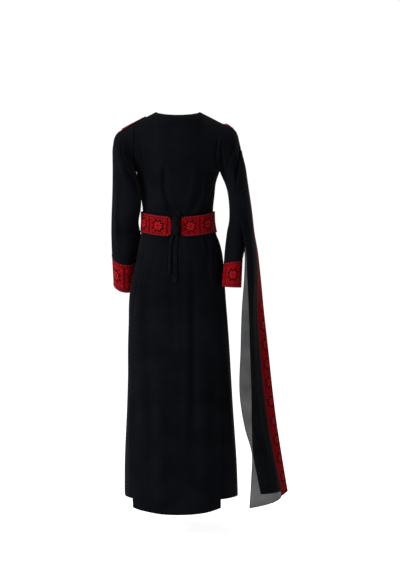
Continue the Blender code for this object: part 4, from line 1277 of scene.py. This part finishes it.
def make_loop():
    """The bow loop is a flat tape that stands up behind the knot in an arch."""
    across, turn = np.meshgrid(steps(-1, 1, 10) * LOOP_TAPE / 2, steps(0, math.pi, 60))
    x = KNOT_PLACE[0] - (LOOP_REACH[0] + across) * np.cos(turn)
    y = KNOT_PLACE[1] + LOOP_LEAN * np.sin(turn) - 0.0008 * np.sin(5 * turn) * (across / LOOP_TAPE * 2)
    z = KNOT_PLACE[2] + LOOP_FOOT + (LOOP_REACH[1] + across) * np.sin(turn)
    points = np.stack((x, y, z), axis=-1)
    outward = np.zeros_like(points)
    outward[..., 1] = -1
    loop = cloth_wall("tie_loop_tape", points, outward, CLOTH / 2, 0.0012, tape)
    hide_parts("tie_loop")


# Shoulder band
def make_shoulder_band():
    """The narrow band along the left shoulder seam and over the sleeve head."""
    ys = steps(*BAND_REACH, 20)[::-1]
    on_seam = -steps(BAND_START_X, SHOULDER_TIP_X - SEAM_STEP, 3)
    runs = steps(*BAND_RUN, 3)
    back = steps(0, BAND_SLANT, len(on_seam) + len(runs) - 1)
    rows = [shoulder_point(x, ys - shift) for x, shift in zip(on_seam, back)]
    over = zip(runs, back[len(on_seam) :])
    rows += [sleeve_top(left_form, LEFT_SLEEVE, -1, run, ys - shift) for run, shift in over]
    coarse = np.array(rows)
    reach = lengths(coarse[:, 10])
    count = round(reach[-1] / STITCH)
    at = steps(0, reach[-1], count)
    points = np.empty((count + 1, len(ys), 3))
    for column in range(len(ys)):
        for axis in range(3):
            points[:, column, axis] = np.interp(at, reach, coarse[:, column, axis])
    outward = ribbon_normals(points)
    lift = CLOTH / 2 + SEAM_GAP + TRIM / 2 + 2 * SURFACE_EASE
    chart = star_chart(len(ys) - 1, count, count // 2).T
    band = cloth_wall(
        "shoulder_band_left_cloth",
        points + outward * lift,
        outward,
        TRIM / 2,
        0.0016,
        embroidery,
        size=(len(ys) - 1, count),
        chart=chart,
    )
    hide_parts("shoulder_band_left")


# Veil
def make_veil():
    down = np.concatenate((steps(0, 0.10, 30), steps(0.10, 1, 200)[1:]))
    across = steps(0, 1, 56)
    thin = panel(
        "veil_sheer_cloth", veil_sheer, across, down, CHIFFON / 2, CHIFFON_SHELL, sheer, size=(0.14, 1.29)
    )
    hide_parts("veil_sheer")
    ones = np.ones_like(down)
    lines = [veil_sheer(0 * ones, down), veil_sheer(across, np.ones_like(across))]
    roll = threads("veil_sheer_rolled_edge", lines, 0.0011, rolled, sides=2)

    across = steps(0, 1, 44)
    thick = panel(
        "veil_folded_cloth", veil_folded, across, down, CHIFFON / 2, CHIFFON_SHELL, doubled, size=(0.12, 1.24)
    )
    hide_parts("veil_folded")
    lines = [veil_folded(0 * ones, down), veil_folded(across, np.ones_like(across)), veil_folded(ones, down)]
    roll = threads("veil_folded_rolled_edge", lines, 0.0009, rolled, sides=2)


BORDER_COLUMNS = 18


def make_border():
    """The border starts on the right shoulder, goes over the sleeve head and hangs to the hem."""
    share = steps(0, 1, BORDER_COLUMNS)
    rows = []
    for over in BORDER_ON_SLEEVE:
        ys = over.behind + BORDER_WIDTH * share
        rows.append(sleeve_top(right_form, RIGHT_SLEEVE, 1, over.run, ys))
    on_sleeve = np.array(rows)
    lift = CLOTH / 2 + SEAM_GAP + TRIM / 2 + 3 * SURFACE_EASE
    on_sleeve = on_sleeve + ribbon_normals(on_sleeve) * lift
    hanging = hanging_border(*np.meshgrid(share, steps(0, 1, 240)))
    coarse = np.concatenate((on_sleeve, hanging))
    middle = coarse[:, BORDER_COLUMNS // 2]
    reach = lengths(middle)
    count = round(reach[-1] / STITCH)
    at = steps(0, reach[-1], count)
    points = np.empty((count + 1, BORDER_COLUMNS + 1, 3))
    for column in range(BORDER_COLUMNS + 1):
        for axis in range(3):
            points[:, column, axis] = np.interp(at, reach, coarse[:, column, axis])
    outward = ribbon_normals(points)
    band = cloth_wall(
        "veil_border_cloth",
        points,
        outward,
        TRIM / 2,
        0.0015,
        embroidery,
        size=(BORDER_COLUMNS, count),
        chart=border_chart(count, BORDER_COLUMNS),
    )
    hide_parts("veil_border")
    roll = threads("veil_border_edge", [points[::2, -1]], 0.0008, red_thread)


make_bodice()
make_skirt()
make_sleeve("left", left_sleeve, left_cuff, LEFT_STAR)
make_sleeve("right", right_sleeve, right_cuff, RIGHT_STAR)
make_belt()
make_tails()
make_knot()
make_loop()
make_shoulder_band()
make_veil()
make_border()

# Floor
FLOOR_HEIGHT = -1.507
floor_shape = bmesh.new()
bmesh.ops.create_grid(floor_shape, x_segments=1, y_segments=1, size=30)
bmesh.ops.translate(floor_shape, vec=(0, 0, FLOOR_HEIGHT), verts=floor_shape.verts[:])
floor_mesh = bpy.data.meshes.new("floor")
floor_shape.to_mesh(floor_mesh)
floor_shape.free()
floor = bpy.data.objects.new("floor", floor_mesh)
bpy.context.scene.collection.objects.link(floor)
pale = bpy.data.materials.new("pale_floor")
pale.use_nodes = True
pale_shader = pale.node_tree.nodes["Principled BSDF"]
pale_shader.inputs["Base Color"].default_value = (0.55, 0.55, 0.55, 1)
pale_shader.inputs["Roughness"].default_value = 0.9
pale_shader.inputs["Emission Color"].default_value = (1, 1, 1, 1)
pale_shader.inputs["Emission Strength"].default_value = 0.88
floor_mesh.materials.append(pale)

# Soft studio light, stronger from the left as the camera sees it
world = bpy.data.worlds.new("studio")
world.use_nodes = True
around = world.node_tree
dim = around.nodes["Background"]
dim.inputs["Color"].default_value = (1, 1, 1, 1)
dim.inputs["Strength"].default_value = 0.30
bright = add_node(around, "ShaderNodeBackground", {"Color": (1, 1, 1, 1), "Strength": 1.02})
seen = add_node(around, "ShaderNodeLightPath").outputs["Is Camera Ray"]
chosen = add_node(around, "ShaderNodeMixShader", {0: seen, 1: dim.outputs[0], 2: bright.outputs[0]})
around.links.new(chosen.outputs[0], around.nodes["World Output"].inputs["Surface"])
bpy.context.scene.world = world
bpy.context.scene.view_settings.view_transform = "Standard"


def soft_light(name, place, target, size, energy):
    data = bpy.data.lights.new(name, "AREA")
    data.size = size
    data.energy = energy
    lamp = bpy.data.objects.new(name, data)
    lamp.location = place
    direction = np.array(target) - np.array(place)
    lamp.rotation_euler = (
        math.acos(-direction[2] / np.linalg.norm(direction)),
        0,
        math.atan2(-direction[0], direction[1]),
    )
    bpy.context.scene.collection.objects.link(lamp)


soft_light("key", (-3.6, -2.6, 1.4), (0, 0, -0.6), 1.4, 330)
soft_light("fill", (3.4, -2.6, 0.6), (0, 0, -0.7), 2.2, 24)
soft_light("top", (0.2, 0.4, 2.6), (0, 0, -0.4), 2.0, 50)

# Camera level with the wearer's waist, as the photograph is framed
CAMERA_DISTANCE = 5.5
CAMERA_HEIGHT = -0.357
FRAME_MIDDLE = (0.079, -0.621)
FRAME_HEIGHT = 2.052
camera_data = bpy.data.cameras.new("camera")
camera_data.sensor_fit = "VERTICAL"
camera_data.sensor_height = 36
camera_data.lens = 36 * CAMERA_DISTANCE / FRAME_HEIGHT
camera = bpy.data.objects.new("camera", camera_data)
camera.location = (FRAME_MIDDLE[0], -CAMERA_DISTANCE, CAMERA_HEIGHT)
tilt = math.atan2(CAMERA_HEIGHT - FRAME_MIDDLE[1], CAMERA_DISTANCE)
camera.rotation_euler = (math.pi / 2 - tilt, 0, 0)
bpy.context.scene.collection.objects.link(camera)
bpy.context.scene.camera = camera
